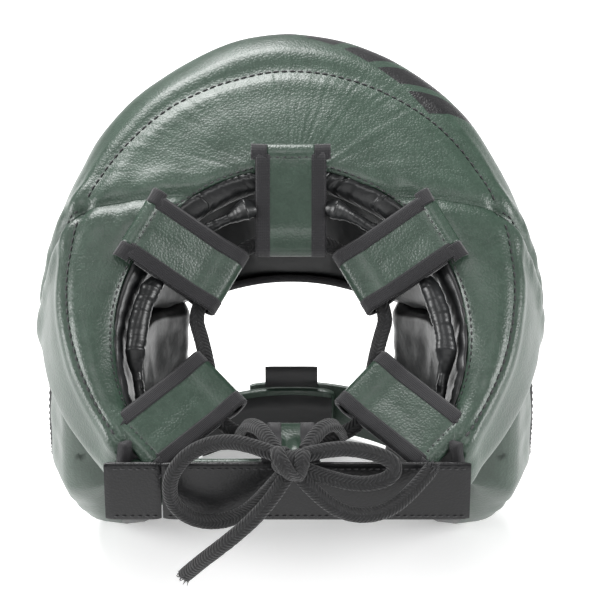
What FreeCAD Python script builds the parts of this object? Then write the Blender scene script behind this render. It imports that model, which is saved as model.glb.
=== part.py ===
import FreeCAD, Part
import math
import os

os.makedirs("parts", exist_ok=True)
Vector = FreeCAD.Vector

# Boxing headgear, millimetres. The face looks along -Y, the wearer's left is +X, +Z is up.
# z = 0 is the flat that the cheek pads stand on, and x = 0 is the middle of the head.

# ---------------------------------------------------------------- leather, lining and tape
SKIN = 2.2              # leather outside, with its backing
LINING = 2.0            # lining inside
PANEL_GAP = 0.4         # between two panels sewn edge to edge
SEAT = 0.3              # between a sewn-on piece and what it lies on
TAPE = 0.8              # binding tape
EDGE_BINDING = 4.0      # rolled binding on the wing ends
ROLL = 5.0              # radius of the rolled binding round the crown
ROLL_LEAN = 25.0        # degrees the roll stands up from the rim's inner corner at the sides
ROLL_ENDS, ROLL_STEPS = 123.0, 32


class Ring:
    """A closed line round the head: an oval in plan that climbs evenly from back to front."""

    def __init__(self, half_width, front, back, front_z, back_z):
        self.half_width = half_width
        self.half_length = (front + back) / 2
        self.middle = (front - back) / 2
        self.front, self.front_z = front, front_z
        self.climb = (front_z - back_z) / (front + back)

    def radius(self, angle):
        """Distance from the upright axis at x = y = 0, at an angle from the front."""
        across, ahead = math.sin(angle), math.cos(angle)
        square = (across / self.half_width) ** 2 + (ahead / self.half_length) ** 2
        slope = -2 * ahead * self.middle / self.half_length ** 2
        rest = (self.middle / self.half_length) ** 2 - 1
        return (-slope + math.sqrt(slope ** 2 - 4 * square * rest)) / (2 * square)

    def point(self, angle):
        """(distance out, height) at an angle from the front."""
        out = self.radius(angle)
        return out, self.front_z + self.climb * (out * math.cos(angle) - self.front)


# ---------------------------------------------------------------- the padded shell
RIM = Ring(83, 8, 112, 212, 95)             # edge of the crown opening
RIDGE = Ring(108, 56, 133, 239, 100)        # seam along the top of the roll
SHOULDER = Ring(118, 92, 134, 248, 98)      # outer side of the roll
GIRTH = Ring(123, 126, 138, 180, 90)       # widest line of the shell
HEM_OUT = Ring(117, 119, 125, 0, 0)         # lower outer edge of the upper shell
CORE_BEND = Ring(82, 112, 118, 0, 0)        # pulls the inner wall out to the forehead
HEM_IN = Ring(76, 85, 104, 0, 0)            # lower inner edge of the upper shell
RIM_EDGE = 9.0                              # thickness of the padding at the crown opening
RIM_LEAN = -5.0                             # the inner edge stands in under the outer one
BROW_Z, SIDE_Z, NAPE_Z = 104.0, 118.0, 88.0   # lower edge at the brow, the ear and the nape
BROW_ENDS, SIDE_STARTS = 38.0, 72.0           # degrees from the front
NAPE_STARTS = 112.0

FRONT_END = 92.0        # the gusset seam between the front and a wing, degrees
WING_END = 142.0
WING_TAPER = 0.10       # how much thinner the padding is at the wing end
FRONT_STEPS, WING_STEPS, CHEEK_STEPS = 22, 8, 12

CHEEK_FRONT, CHEEK_BACK = 37.0, 118.0
CHEEK_MID_OUT = Ring(119, 112, 114, 64, 64)
CHEEK_LOW_OUT = Ring(106, 101, 96, 16, 16)
CHEEK_FOOT_OUT = Ring(100, 96, 88, 0, 0)
CHEEK_FOOT_IN = Ring(68, 78, 70, 0, 0)
CHEEK_MID_IN = Ring(75, 88, 98, 60, 60)
FOOT_ENDS = 78.0                  # the flat foot of a cheek pad ends here, degrees
CHEEK_BACK_Z = 66.0               # lower edge at the back of the pad
CHEEK_ROUND = 7.0                 # rounding of the lower edge
FOOT_TRIM = 1.0                   # cut off flat under the pads

EAR_Y, EAR_Z = 4.0, 82.0          # middle of the ear opening
EAR_HALF_LENGTH, EAR_HALF_HEIGHT = 15.0, 22.0
EAR_LIP = 1.5                     # how far the ear binding stands out

# ---------------------------------------------------------------- crown tabs and lace
LACE = 3.5                        # radius of the braided lace
TUNNEL_PLAY = 0.7
LACE_RING_FRONT = 44.0            # from the middle of the lace ring to the front tab's fold
LACE_RING_NEAR, LACE_RING_SIDE, LACE_RING_REAR = 43.0, 46.0, 52.0
LACE_REACH = 4.5                  # straight lace beyond each side tab
RING_DROP = 12.0                  # how far the ring hangs below the rim
TAB_THICK, TAB_WALL = 3.6, 1.7
TAB_WIDTH = 33.0
PINCHED_WIDTH = 22.0              # the rear tab, drawn together by the knot
TAPE_WIDTH = 6.5
TAB_FOOT = (7.0, 6.0)             # length and depth of what is sewn down on the shell
REAR_FOOT = (3.0, 1.3)
TAB_LIFT = 4.6                    # height of a tab over the edge of the crown opening
LACE_BEND = 8.0                   # radius of the lace where it leaves a tab
# degrees round the lace ring, degrees round the rim, distance of the fold from the middle
TABS = {"front": (0, 0, LACE_RING_FRONT), "front_left": (53, 50, LACE_RING_NEAR),
        "back_left": (126, 111, LACE_RING_SIDE)}

# ---------------------------------------------------------------- rear closure
TONGUE_Y, TONGUE_THICK = 96.6, 4.5
TONGUE_TOP, TONGUE_BOTTOM, TONGUE_TIP = 115.0, 90.0, -14.0
PATCH = 1.4                       # hook or loop fastener
STRAP_THICK = 2.6
STRAP_TOP, STRAP_BOTTOM = 118.0, 86.0
STRAP_FOLD = 60.0                 # where the free end starts
PULL_LENGTH = 27.0
FOLD_GAP = 0.6

# ---------------------------------------------------------------- chin closure
CHIN_FRONT, CHIN_SAG, CHIN_HALF = 86.0, 16.0, 47.0
CHIN_BOTTOM, CHIN_TOP = 2.0, 34.0
CHIN_INNER_THICK, CHIN_OUTER_THICK = 6.0, 3.0
CHIN_OVERLAP = 22.0
CHIN_HINGE_GAP = 0.5              # the outer strap swings clear of the right cheek pad
LABEL = (28.0, 0.8, 13.0)         # width, thickness, height of the care label
LABEL_GAP = 0.5

TONGUE_FAR = TONGUE_Y + TONGUE_THICK
HOOK_Y = TONGUE_FAR + PATCH + SEAT
STRAP_Y = HOOK_Y + PATCH
MIDDLE_Y = (STRAP_Y + STRAP_THICK - GIRTH.front) / 2     # middle of the whole length


def smooth(value, low, high):
    t = min(1.0, max(0.0, (value - low) / (high - low)))
    return t * t * (3 - 2 * t)


def hem_height(degrees):
    """Height of the upper shell's lower edge, at degrees from the front."""
    side = smooth(abs(degrees), BROW_ENDS, SIDE_STARTS)
    nape = smooth(abs(degrees), NAPE_STARTS, WING_END)
    return BROW_Z + (SIDE_Z - BROW_Z) * side + (NAPE_Z - SIDE_Z) * nape


def place(flat, degrees):
    """The point (distance out, height) at degrees from the front, in space."""
    angle = math.radians(degrees)
    return Vector(flat[0] * math.sin(angle), -flat[0] * math.cos(angle), flat[1])


def bezier(start, bend, end, steps):
    line = []
    for k in range(steps + 1):
        t = k / steps
        weights = ((1 - t) ** 2, 2 * t * (1 - t), t * t)
        line.append(tuple(sum(w * p[i] for w, p in zip(weights, (start, bend, end)))
                          for i in (0, 1)))
    return line


def inset(line, distance):
    """The line moved sideways by distance, with mitred corners."""
    sides = []
    for here, there in zip(line, line[1:]):
        size = math.hypot(there[0] - here[0], there[1] - here[1])
        sides.append(((there[1] - here[1]) / size, (here[0] - there[0]) / size))
    moved = []
    for k, (out, up) in enumerate(line):
        one, two = sides[max(k - 1, 0)], sides[min(k, len(sides) - 1)]
        share = distance / (1 + one[0] * two[0] + one[1] * two[1])
        moved.append((out + share * (one[0] + two[0]), up + share * (one[1] + two[1])))
    return moved


def upper_outer(degrees):
    """Outer line of the upper shell from the rim to the hem."""
    angle = math.radians(degrees)
    thin = 1 - WING_TAPER * smooth(abs(degrees), FRONT_END, WING_END)
    rim = RIM.point(angle)
    base = HEM_IN.radius(angle)
    pull = lambda flat: (base + (flat[0] - base) * thin, flat[1])
    hem = pull((HEM_OUT.radius(angle), hem_height(degrees)))
    ridge, shoulder, girth = (pull(r.point(angle)) for r in (RIDGE, SHOULDER, GIRTH))
    ridge = (max(ridge[0], rim[0] + RIM_EDGE), ridge[1])
    crest = (shoulder[0] * 0.96 + ridge[0] * 0.04, shoulder[1])
    return [rim, ridge] + bezier(ridge, crest, girth, 4)[1:] + [hem]


def upper_inner(degrees):
    """Inner line of the upper shell from the rim to the hem."""
    angle = math.radians(degrees)
    out, up = RIM.point(angle)
    top = (out + RIM_LEAN, up - RIM_EDGE)
    hem = (HEM_IN.radius(angle), hem_height(degrees))
    ahead = max(0.0, math.cos(angle)) ** 2
    low = 0.5 - 0.38 * ahead
    bend = (max(CORE_BEND.radius(angle), 0.5 * (top[0] + hem[0])), up + (hem[1] - up) * low)
    return bezier(top, bend, hem, 5)


def foot_height(degrees):
    """Height of a cheek pad's lower edge: flat in front, then rising to below the ear."""
    rise = smooth(degrees, FOOT_ENDS, 2 * CHEEK_BACK - FOOT_ENDS) * 2
    return (CHEEK_BACK_Z + FOOT_TRIM) * rise - FOOT_TRIM


def at_height(line, height):
    """Where a line of (distance out, height) points, highest first, crosses a height."""
    for high, low in zip(line, line[1:]):
        if height >= low[1]:
            t = (height - low[1]) / (high[1] - low[1])
            return low[0] + (high[0] - low[0]) * t
    return line[-1][0]


def cheek_side(degrees, hem, rings, steps):
    """Points down one side of a cheek pad, from its top seam to its lower edge."""
    angle = math.radians(degrees)
    top, foot = hem_height(degrees) - PANEL_GAP, foot_height(degrees)
    whole = [(hem.radius(angle), top)] + [r.point(angle) for r in rings]
    heights = [top + (foot - top) * k / steps for k in range(steps + 1)]
    return [(at_height(whole, h), h) for h in heights]


def cheek_outer(degrees):
    side = cheek_side(degrees, HEM_OUT, (CHEEK_MID_OUT, CHEEK_LOW_OUT, CHEEK_FOOT_OUT), 6)
    return side[:-1] + [(side[-1][0] - CHEEK_ROUND, side[-1][1])]


def cheek_inner(degrees):
    return cheek_side(degrees, HEM_IN, (CHEEK_MID_IN, CHEEK_FOOT_IN), 3)


def level_ends(line, model):
    """Moves the first and last point of an inset line onto the panel's own end lines."""
    line = list(line)
    for end in (0, -1):
        line[end] = model[end]
    return line


def layers(outer, inner, skin, lining):
    """Closed outlines of skin, foam and lining between the two lines."""
    def along(end, distance, start, finish):
        size = math.hypot(finish[end][0] - start[end][0], finish[end][1] - start[end][1])
        t = distance / size
        return tuple(a + (b - a) * t for a, b in zip(start[end], finish[end]))

    under = level_ends(inset(outer, skin),
                       {e: along(e, skin, outer, inner) for e in (0, -1)})
    over = level_ends(inset(inner, -lining),
                      {e: along(e, lining, inner, outer) for e in (0, -1)})
    return {"skin": outer + under[::-1], "foam": under + over[::-1], "lining": over + inner[::-1]}


def loft(outlines, stations):
    wires = []
    for outline, degrees in zip(outlines, stations):
        points = [place(flat, degrees) for flat in outline]
        wires.append(Part.makePolygon(points + points[:1]))
    return Part.makeLoft(wires, True, True)


def padded(outer, inner, start, end, steps):
    """Skin, foam and lining of one panel between two angles."""
    stations = [start + (end - start) * k / steps for k in range(steps + 1)]
    cut = [layers(outer(s), inner(s), SKIN, LINING) for s in stations]
    return {name: loft([c[name] for c in cut], stations) for name in cut[0]}


def export(name, shape):
    solids = shape.Solids
    if not solids or not all(s.isValid() and s.isClosed() for s in solids):
        print("PROBLEM", name, len(solids), [s.isValid() for s in solids])
    made = solids[0] if len(solids) == 1 else Part.makeCompound(solids)
    made = made.translated(Vector(0, -MIDDLE_Y, 0))
    made.exportStep(f"parts/{name}.step")
    box = made.BoundBox
    print(f"{name:24s} {len(solids)} {made.Volume:10.0f} x {box.XMin:7.1f} {box.XMax:7.1f} "
          f"y {box.YMin:7.1f} {box.YMax:7.1f} z {box.ZMin:7.1f} {box.ZMax:7.1f}")
    return made


def cut_by(shape, others):
    for other in others:
        shape = shape.cut(other)
    return shape


def largest(shape):
    return max(shape.Solids, key=lambda solid: solid.Volume)


def mirrored(shape):
    return shape.mirror(Vector(0, 0, 0), Vector(1, 0, 0))


# ---------------------------------------------------------------- shell, wings, cheeks
def ear_prism(grow):
    """Oval prism through the left ear, grown by a margin."""
    oval = Part.Ellipse(Vector(0, 0, 0), EAR_HALF_HEIGHT + grow, EAR_HALF_LENGTH + grow)
    wire = Part.Wire(oval.toShape())
    face = Part.Face(wire)
    face.Placement = FreeCAD.Placement(Vector(40, EAR_Y, EAR_Z),
                                       FreeCAD.Rotation(Vector(0, 1, 0), 90))
    return face.extrude(Vector(120, 0, 0))


def ear_binding(pad):
    """Tape rolled round the edge of the ear opening, as long as the pad is thick there."""
    sleeve = ear_prism(0).cut(ear_prism(-TAPE * 2))
    box = pad.BoundBox
    near = CHEEK_MID_IN.half_width - EAR_LIP
    length = box.XMax + EAR_LIP - near
    keep = Part.makeBox(length, 90, 90, Vector(near, EAR_Y - 45, EAR_Z - 45))
    return sleeve.common(keep)


def wing_end_binding():
    """Rolled binding that closes the end of the left wing."""
    outline = upper_outer(WING_END) + upper_inner(WING_END)[::-1]
    points = [place(flat, WING_END) for flat in outline]
    face = Part.Face(Part.makePolygon(points + points[:1]))
    angle = math.radians(WING_END)
    along = Vector(math.cos(angle), math.sin(angle), 0)
    return face.extrude(along * EDGE_BINDING)


def brow_binding():
    """Tape along the lower edge of the forehead, between the cheek pads."""
    span = CHEEK_FRONT - 1
    stations = [-span + 2 * span * k / 14 for k in range(15)]
    outlines = []
    for degrees in stations:
        angle = math.radians(degrees)
        low = hem_height(degrees)
        near, far = HEM_IN.radius(angle), HEM_OUT.radius(angle)
        outlines.append([(near, low), (far, low), (far - 3, low - 3), (near + 3, low - 3)])
    return loft(outlines, stations)


# ---------------------------------------------------------------- lace ring and tabs
TILT = math.atan(RIM.climb)
UPHILL = Vector(0, -math.cos(TILT), math.sin(TILT))
ACROSS = Vector(1, 0, 0)
NORMAL = Vector(0, math.sin(TILT), math.cos(TILT))
RIM_MIDDLE = Vector(0, -RIM.middle, RIM.front_z - RIM.climb * RIM.half_length)
RING_MIDDLE = RIM_MIDDLE + UPHILL * 6 - NORMAL * RING_DROP


def on_ring(degrees, distance):
    angle = math.radians(degrees)
    return RING_MIDDLE + UPHILL * (distance * math.cos(angle)) \
        + ACROSS * (distance * math.sin(angle))


def on_rim(degrees):
    angle = math.radians(degrees)
    return RIM_MIDDLE + UPHILL * (RIM.half_length / math.cos(TILT) * math.cos(angle)) \
        + ACROSS * (RIM.half_width * math.sin(angle))


def tab_outline(length, grow, foot):
    """Side view of a tab: the flat, its sewn foot and the tunnel at its folded end."""
    half = TAB_THICK / 2 + grow
    heel, depth = foot
    flat = Part.makeBox(length + heel, 1, 2 * half, Vector(-heel, 0, -half))
    tunnel = Part.makeCylinder(LACE + TUNNEL_PLAY + TAB_WALL + grow, 1,
                               Vector(length, 0, 0), Vector(0, 1, 0))
    under = Part.makeBox(heel, 1, depth - grow, Vector(-heel, 0, -half - depth + grow))
    return flat.fuse(tunnel).fuse(under).removeSplitter()


def stretch(shape, width):
    """Widens a side view of unit width to the width wanted, about its middle."""
    face = [f for f in shape.Faces if abs(f.CenterOfMass.y) < 1e-6
            and abs(abs(f.normalAt(0, 0).y) - 1) < 1e-6][0]
    solid = face.extrude(Vector(0, width, 0))
    solid.translate(Vector(0, -width / 2, 0))
    return solid


def crossways(root, tip):
    """The way a tab's tunnel runs: across the tab and flat in the lace ring."""
    return (tip - root).cross(NORMAL).normalize()


def seat_in(shape, root, tip):
    """Moves a tab from its own axes to a line from root to tip."""
    along = (tip - root).normalize()
    side = crossways(root, tip)
    normal = side.cross(along)
    matrix = FreeCAD.Matrix(along.x, side.x, normal.x, root.x,
                            along.y, side.y, normal.y, root.y,
                            along.z, side.z, normal.z, root.z, 0, 0, 0, 1)
    return shape.transformed(matrix)


def tab_room(root, tip):
    """The space a crown tab takes up with its tapes and a little air."""
    outline = tab_outline((tip - root).Length, TAPE + SEAT, TAB_FOOT)
    return seat_in(stretch(outline, TAB_WIDTH + 2 * (TAPE + SEAT)), root, tip)


def tab(root, tip, width, foot, shell):
    """A folded tab and its two tapes between root and the middle of its tunnel."""
    length = (tip - root).Length
    bore = Part.makeCylinder(LACE + TUNNEL_PLAY, width + 10,
                             Vector(length, -width / 2 - 5, 0), Vector(0, 1, 0))
    body = stretch(tab_outline(length, 0, foot), width)
    cover = stretch(tab_outline(length, TAPE, foot), width + 2 * TAPE)
    gap = Part.makeBox(length * 3, width - 2 * TAPE_WIDTH, 60,
                       Vector(-length, -width / 2 + TAPE_WIDTH, -30))
    tapes = cover.cut(body).cut(gap).cut(bore)
    body = body.cut(bore)
    body, tapes = (cut_by(seat_in(s, root, tip), shell) for s in (body, tapes))
    sides = sorted(tapes.Solids, key=lambda solid: solid.Volume)[-2:]
    return largest(body), Part.makeCompound(sides)


def rounded_path(points, radii, closed=False):
    """Straight runs joined by tangent arcs."""
    count = len(points)
    corners = range(count) if closed else range(1, count - 1)
    cuts = {}
    for k in corners:
        here, before, after = points[k], points[k - 1], points[(k + 1) % count]
        back, ahead = (before - here).normalize(), (after - here).normalize()
        half = back.getAngle(ahead) / 2
        reach = radii[k] / math.tan(half)
        centre = here + (back + ahead).normalize() * (radii[k] / math.sin(half))
        middle = centre + (here - centre).normalize() * radii[k]
        cuts[k] = (here + back * reach, middle, here + ahead * reach)
    edges = []
    for k in range(count if closed else count - 1):
        following = (k + 1) % count
        start = cuts[k][2] if k in cuts else points[k]
        end = cuts[following][0] if following in cuts else points[following]
        edges.append(Part.LineSegment(start, end).toShape())
        if following in cuts:
            edges.append(Part.Arc(*cuts[following]).toShape())
    return Part.Wire(edges)


def natural_radii(name, points):
    """Each bend as large as its two runs allow."""
    radii = [0.0] * len(points)
    for k in range(1, len(points) - 1):
        back, ahead = points[k - 1] - points[k], points[k + 1] - points[k]
        turn = math.pi - back.getAngle(ahead)
        radii[k] = 0.45 * min(back.Length, ahead.Length) / math.tan(turn / 2)
    print(name, "radii", [round(r, 1) for r in radii[1:-1]])
    return radii


def tube(path, start, heading, radius):
    ring = Part.Wire(Part.Circle(start, heading, radius).toShape())
    solid = path.makePipeShell([ring], True, False, 2)
    expected = math.pi * radius ** 2 * path.Length
    print("tube volume over section times length", round(solid.Volume / expected, 4))
    return solid


def free_lace(name, route):
    """One free stretch of the lace, from its hand-chosen points."""
    points = [Vector(*p) for p in route]
    path = rounded_path(points, natural_radii(name, points))
    return tube(path, points[0], points[1] - points[0], LACE)


def crown_binding():
    """Rolled lining inside the rim, from one wing end round to the other."""
    sections = []
    for step in range(ROLL_STEPS + 1):
        degrees = ROLL_ENDS * (2 * step / ROLL_STEPS - 1)
        angle = math.radians(degrees)
        ahead = math.cos(angle)
        inward = UPHILL * -ahead - ACROSS * math.sin(angle)
        lean = math.radians(ROLL_LEAN) * (1 - max(ahead, 0))
        depth = RIM_EDGE * math.sin(TILT) * ahead - RIM_LEAN + (ROLL + SEAT) * math.cos(lean)
        drop = (ROLL + SEAT) * math.sin(lean) - RIM_EDGE * math.cos(TILT) \
            - RIM_LEAN * math.sin(TILT) * ahead
        middle = on_rim(degrees) + inward * depth + NORMAL * drop
        sides = [2 * math.pi * k / 10 for k in range(10)]
        ring = [middle + (inward * math.cos(a) + NORMAL * math.sin(a)) * ROLL for a in sides]
        sections.append(Part.makePolygon(ring + ring[:1]))
    return Part.makeLoft(sections, True, True)


def tab_ends(entry):
    """Where a tab is sewn on and the middle of its tunnel."""
    turn, rim_turn, distance = entry
    return on_rim(rim_turn) + NORMAL * TAB_LIFT, on_ring(turn, distance)


def lace_ring():
    """The lace where the tabs hold it: straight in each tunnel, bent between them."""
    reach = TAB_WIDTH / 2 + LACE_REACH
    left = []
    for name, line, way in (("front_left", LACE_RING_FRONT, -1),
                            ("back_left", -LACE_RING_REAR, 1)):
        root, tip = tab_ends(TABS[name])
        heading = crossways(root, tip)
        across, up = heading * ACROSS, heading * UPHILL
        middle = ((tip - RING_MIDDLE) * ACROSS, (tip - RING_MIDDLE) * UPHILL)
        meet = (line - middle[1]) / up
        corner = (middle[0] + across * meet, line)
        end = (middle[0] - way * across * reach, middle[1] - way * up * reach)
        left += [corner, end][::-way]
    both = left + [(-x, up) for x, up in reversed(left)]
    points = [RING_MIDDLE + ACROSS * x + UPHILL * up for x, up in both]
    path = rounded_path(points, [LACE_BEND] * len(points), closed=True)
    first = path.OrderedEdges[0]
    start = first.valueAt(first.FirstParameter)
    return tube(path, start, first.tangentAt(first.FirstParameter), LACE)


# Free lace, points chosen one by one: out of the knot, over the strap, and back or to a tip.
KNOT = Vector(0, 115, 124)
KNOT_HALF = Vector(12, 8, 9)
BOW_LEFT = [(6, 114, 128), (20, 110, 132), (35, 107, 131), (48, 110, 126), (56, 114, 116),
            (56, 115, 103), (48, 116, 94), (35, 116, 91), (22, 116, 96), (12, 116, 107),
            (4, 116, 118)]
BOW_RIGHT = [(-6, 114, 128), (-20, 112, 131), (-36, 112, 129), (-48, 113, 124),
             (-48, 114, 116), (-36, 115, 112), (-21, 116, 115), (-6, 115, 121)]
TAIL_LEFT = [(2, 117, 118), (9, 123, 109), (19, 126, 98), (31, 126, 86), (42, 123, 74),
             (50, 119, 63)]
TAIL_RIGHT = [(-4, 116, 118), (-14, 121, 108), (-27, 124, 101), (-42, 123, 101),
              (-55, 118, 108), (-65, 112, 119)]
LEAD_LEFT = [(7, 110, 128), (12, 101, 132), (18, 91, 130), (23, 83, 123), (24, 78, 115)]
LEAD_RIGHT = [(-x, y, z) for x, y, z in LEAD_LEFT]


def knot():
    ball = Part.makeSphere(1.0)
    matrix = FreeCAD.Matrix()
    matrix.scale(KNOT_HALF)
    ball = ball.transformGeometry(matrix)
    ball.translate(KNOT)
    return ball


# ---------------------------------------------------------------- closures
def slab(x0, x1, y0, y1, z0, z1):
    return Part.makeBox(x1 - x0, y1 - y0, z1 - z0, Vector(x0, y0, z0))


def chin_arc(radius_offset, thick, start, end, low, high):
    """Curved band in front of the chin, between two x places."""
    radius = (CHIN_HALF ** 2 + CHIN_SAG ** 2) / (2 * CHIN_SAG)
    middle = Vector(0, -(CHIN_FRONT - radius), low)
    outer = Part.makeCylinder(radius + radius_offset + thick, high - low, middle)
    inner = Part.makeCylinder(radius + radius_offset, high - low, middle)
    keep = slab(start, end, -CHIN_FRONT - 30, middle.y, low - 1, high + 1)
    return outer.cut(inner).common(keep)


def behind_cheek_front(gap):
    """Everything behind the front face of the right cheek pad, moved forward by a gap."""
    block = slab(-400, gap, -400, 400, -10, 300)
    block.rotate(Vector(0, 0, 0), Vector(0, 0, 1), -CHEEK_FRONT)
    return block


shell = padded(upper_outer, upper_inner, -FRONT_END, FRONT_END, FRONT_STEPS)
shell = {f"front_{k}": v for k, v in shell.items()}
gusset = math.degrees(PANEL_GAP / GIRTH.half_width)
left_wing = padded(upper_outer, upper_inner, FRONT_END + gusset, WING_END, WING_STEPS)
left_cheek = padded(cheek_outer, cheek_inner, CHEEK_FRONT, CHEEK_BACK, CHEEK_STEPS)
below = slab(-200, 200, -200, 200, -50, 0)
left_cheek = {k: cut_by(v, [ear_prism(0), below]) for k, v in left_cheek.items()}
for layer in ("skin", "foam", "lining"):
    shell[f"left_wing_{layer}"] = left_wing[layer]
    shell[f"right_wing_{layer}"] = mirrored(left_wing[layer])
    shell[f"left_cheek_{layer}"] = left_cheek[layer]
    shell[f"right_cheek_{layer}"] = mirrored(left_cheek[layer])
for name, shape in shell.items():
    export(name, shape)

left_ear = ear_binding(left_cheek["skin"])
export("left_ear_binding", left_ear)
export("right_ear_binding", mirrored(left_ear))
wing_binding = wing_end_binding()
export("left_wing_binding", wing_binding)
export("right_wing_binding", mirrored(wing_binding))
rooms = [tab_room(*tab_ends(entry)) for entry in TABS.values()]
roll = cut_by(crown_binding(), rooms + [mirrored(room) for room in rooms[1:]])
roll = Part.makeCompound([piece for piece in roll.Solids if piece.Volume > ROLL ** 3])
export("crown_binding", roll)
export("brow_binding", brow_binding())

tongue = slab(TONGUE_TIP, 78, TONGUE_Y, TONGUE_FAR, TONGUE_BOTTOM, TONGUE_TOP)
left_end = [wing_binding] + [left_wing[k] for k in left_wing]
tongue = largest(cut_by(tongue, left_end))
export("rear_tongue", tongue)
export("rear_loop_patch", slab(TONGUE_TIP + 4, 50, TONGUE_FAR, TONGUE_FAR + PATCH,
                               TONGUE_BOTTOM + 3, TONGUE_TOP - 3))
export("rear_hook_patch", slab(TONGUE_TIP + 6, 48, HOOK_Y, STRAP_Y,
                               TONGUE_BOTTOM + 4, TONGUE_TOP - 4))
strap = slab(-84, STRAP_FOLD, STRAP_Y, STRAP_Y + STRAP_THICK, STRAP_BOTTOM, STRAP_TOP)
anchor = slab(-84, -64, TONGUE_Y, STRAP_Y, STRAP_BOTTOM + 4, STRAP_TOP - 3)
strap = largest(cut_by(strap.fuse(anchor).removeSplitter(), [mirrored(s) for s in left_end]))
export("rear_strap", strap)
export("rear_pull_tab", slab(STRAP_FOLD + FOLD_GAP, STRAP_FOLD + PULL_LENGTH, STRAP_Y,
                             STRAP_Y + STRAP_THICK, STRAP_BOTTOM, STRAP_TOP))

seats = [v for k, v in shell.items() if not k.startswith("right")] + [wing_binding]
for name, entry in TABS.items():
    root, tip = tab_ends(entry)
    around = FreeCAD.BoundBox(root - Vector(1, 1, 1) * TAB_WIDTH, root + Vector(1, 1, 1) * TAB_WIDTH)
    near = [seat for seat in seats if seat.BoundBox.intersect(around)]
    for kind, piece in zip(("tab", "tape"), tab(root, tip, TAB_WIDTH, TAB_FOOT, near)):
        export(f"{kind}_{name}", piece)
        if "left" in name:
            export(f"{kind}_{name.replace('left', 'right')}", mirrored(piece))
tip = on_ring(180, LACE_RING_REAR)
root = Vector(0, TONGUE_Y + TONGUE_THICK / 2, TONGUE_TOP + SEAT + TAB_THICK / 2 + TAPE)
body, tapes = tab(root, tip, PINCHED_WIDTH, REAR_FOOT, [tongue])
export("tab_rear", body)
export("tape_rear", tapes)

ring = lace_ring()
export("lace_ring", ring)
knot_ball = knot().cut(body).cut(tapes)
export("lace_knot", knot_ball)
laid = [knot_ball, ring, body, tapes]
for name, route in (("bow_left", BOW_LEFT), ("bow_right", BOW_RIGHT), ("tail_left", TAIL_LEFT),
                    ("tail_right", TAIL_RIGHT), ("lead_left", LEAD_LEFT),
                    ("lead_right", LEAD_RIGHT)):
    lace = largest(cut_by(free_lace(name, route), laid))
    export(f"lace_{name}", lace)
    laid.append(lace)

inner_band = chin_arc(0, CHIN_INNER_THICK, -CHIN_OVERLAP, CHIN_HALF + 12, CHIN_BOTTOM, CHIN_TOP)
inner_band = largest(cut_by(inner_band, left_cheek.values()))
export("chin_inner_strap", inner_band)
export("chin_loop_patch", chin_arc(CHIN_INNER_THICK, PATCH, -CHIN_OVERLAP + 2, CHIN_OVERLAP + 2,
                                   CHIN_BOTTOM + 4, CHIN_TOP - 4))
hook_out = CHIN_INNER_THICK + PATCH + SEAT
export("chin_hook_patch", chin_arc(hook_out, PATCH, -CHIN_OVERLAP + 2, CHIN_OVERLAP - 2,
                                   CHIN_BOTTOM + 5, CHIN_TOP - 5))
outer_band = chin_arc(hook_out + PATCH, CHIN_OUTER_THICK, -CHIN_HALF - 12, CHIN_OVERLAP,
                      CHIN_BOTTOM + 1, CHIN_TOP - 1)
outer_band = largest(outer_band.cut(behind_cheek_front(CHIN_HINGE_GAP)))
export("chin_outer_strap", outer_band)
label_y = -(CHIN_FRONT + CHIN_INNER_THICK / 2) - LABEL[1] / 2
export("care_label", slab(-LABEL[0] / 2, LABEL[0] / 2, label_y, label_y + LABEL[1],
                          CHIN_TOP + LABEL_GAP, CHIN_TOP + LABEL_GAP + LABEL[2]))
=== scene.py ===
import logging
import math
from dataclasses import dataclass, field
from enum import Enum
from typing import Callable, Optional, Sequence, Union

import bpy
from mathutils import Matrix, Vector, noise


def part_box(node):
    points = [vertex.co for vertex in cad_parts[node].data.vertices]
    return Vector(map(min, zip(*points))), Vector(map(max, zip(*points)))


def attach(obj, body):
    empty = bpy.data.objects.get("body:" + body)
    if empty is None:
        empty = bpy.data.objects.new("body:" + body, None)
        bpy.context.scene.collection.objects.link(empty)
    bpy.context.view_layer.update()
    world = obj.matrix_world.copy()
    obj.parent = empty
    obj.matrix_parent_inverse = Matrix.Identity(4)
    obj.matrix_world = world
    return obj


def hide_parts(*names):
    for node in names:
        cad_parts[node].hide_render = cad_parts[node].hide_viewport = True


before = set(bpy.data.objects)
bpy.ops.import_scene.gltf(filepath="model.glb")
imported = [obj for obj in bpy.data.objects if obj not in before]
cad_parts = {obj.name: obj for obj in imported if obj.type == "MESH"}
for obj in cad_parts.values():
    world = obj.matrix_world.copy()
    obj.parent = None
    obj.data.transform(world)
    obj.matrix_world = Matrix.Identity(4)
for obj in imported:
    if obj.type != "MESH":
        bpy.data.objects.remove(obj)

LOG = logging.getLogger("headgear")
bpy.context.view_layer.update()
MM = 0.001
Flat = tuple[float, float]
Grid = list[list[Vector]]

# The head's own upright axis stands this far behind the frame's, in millimetres.
HEAD_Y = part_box("front_skin")[0].y / MM + 126.0


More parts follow.
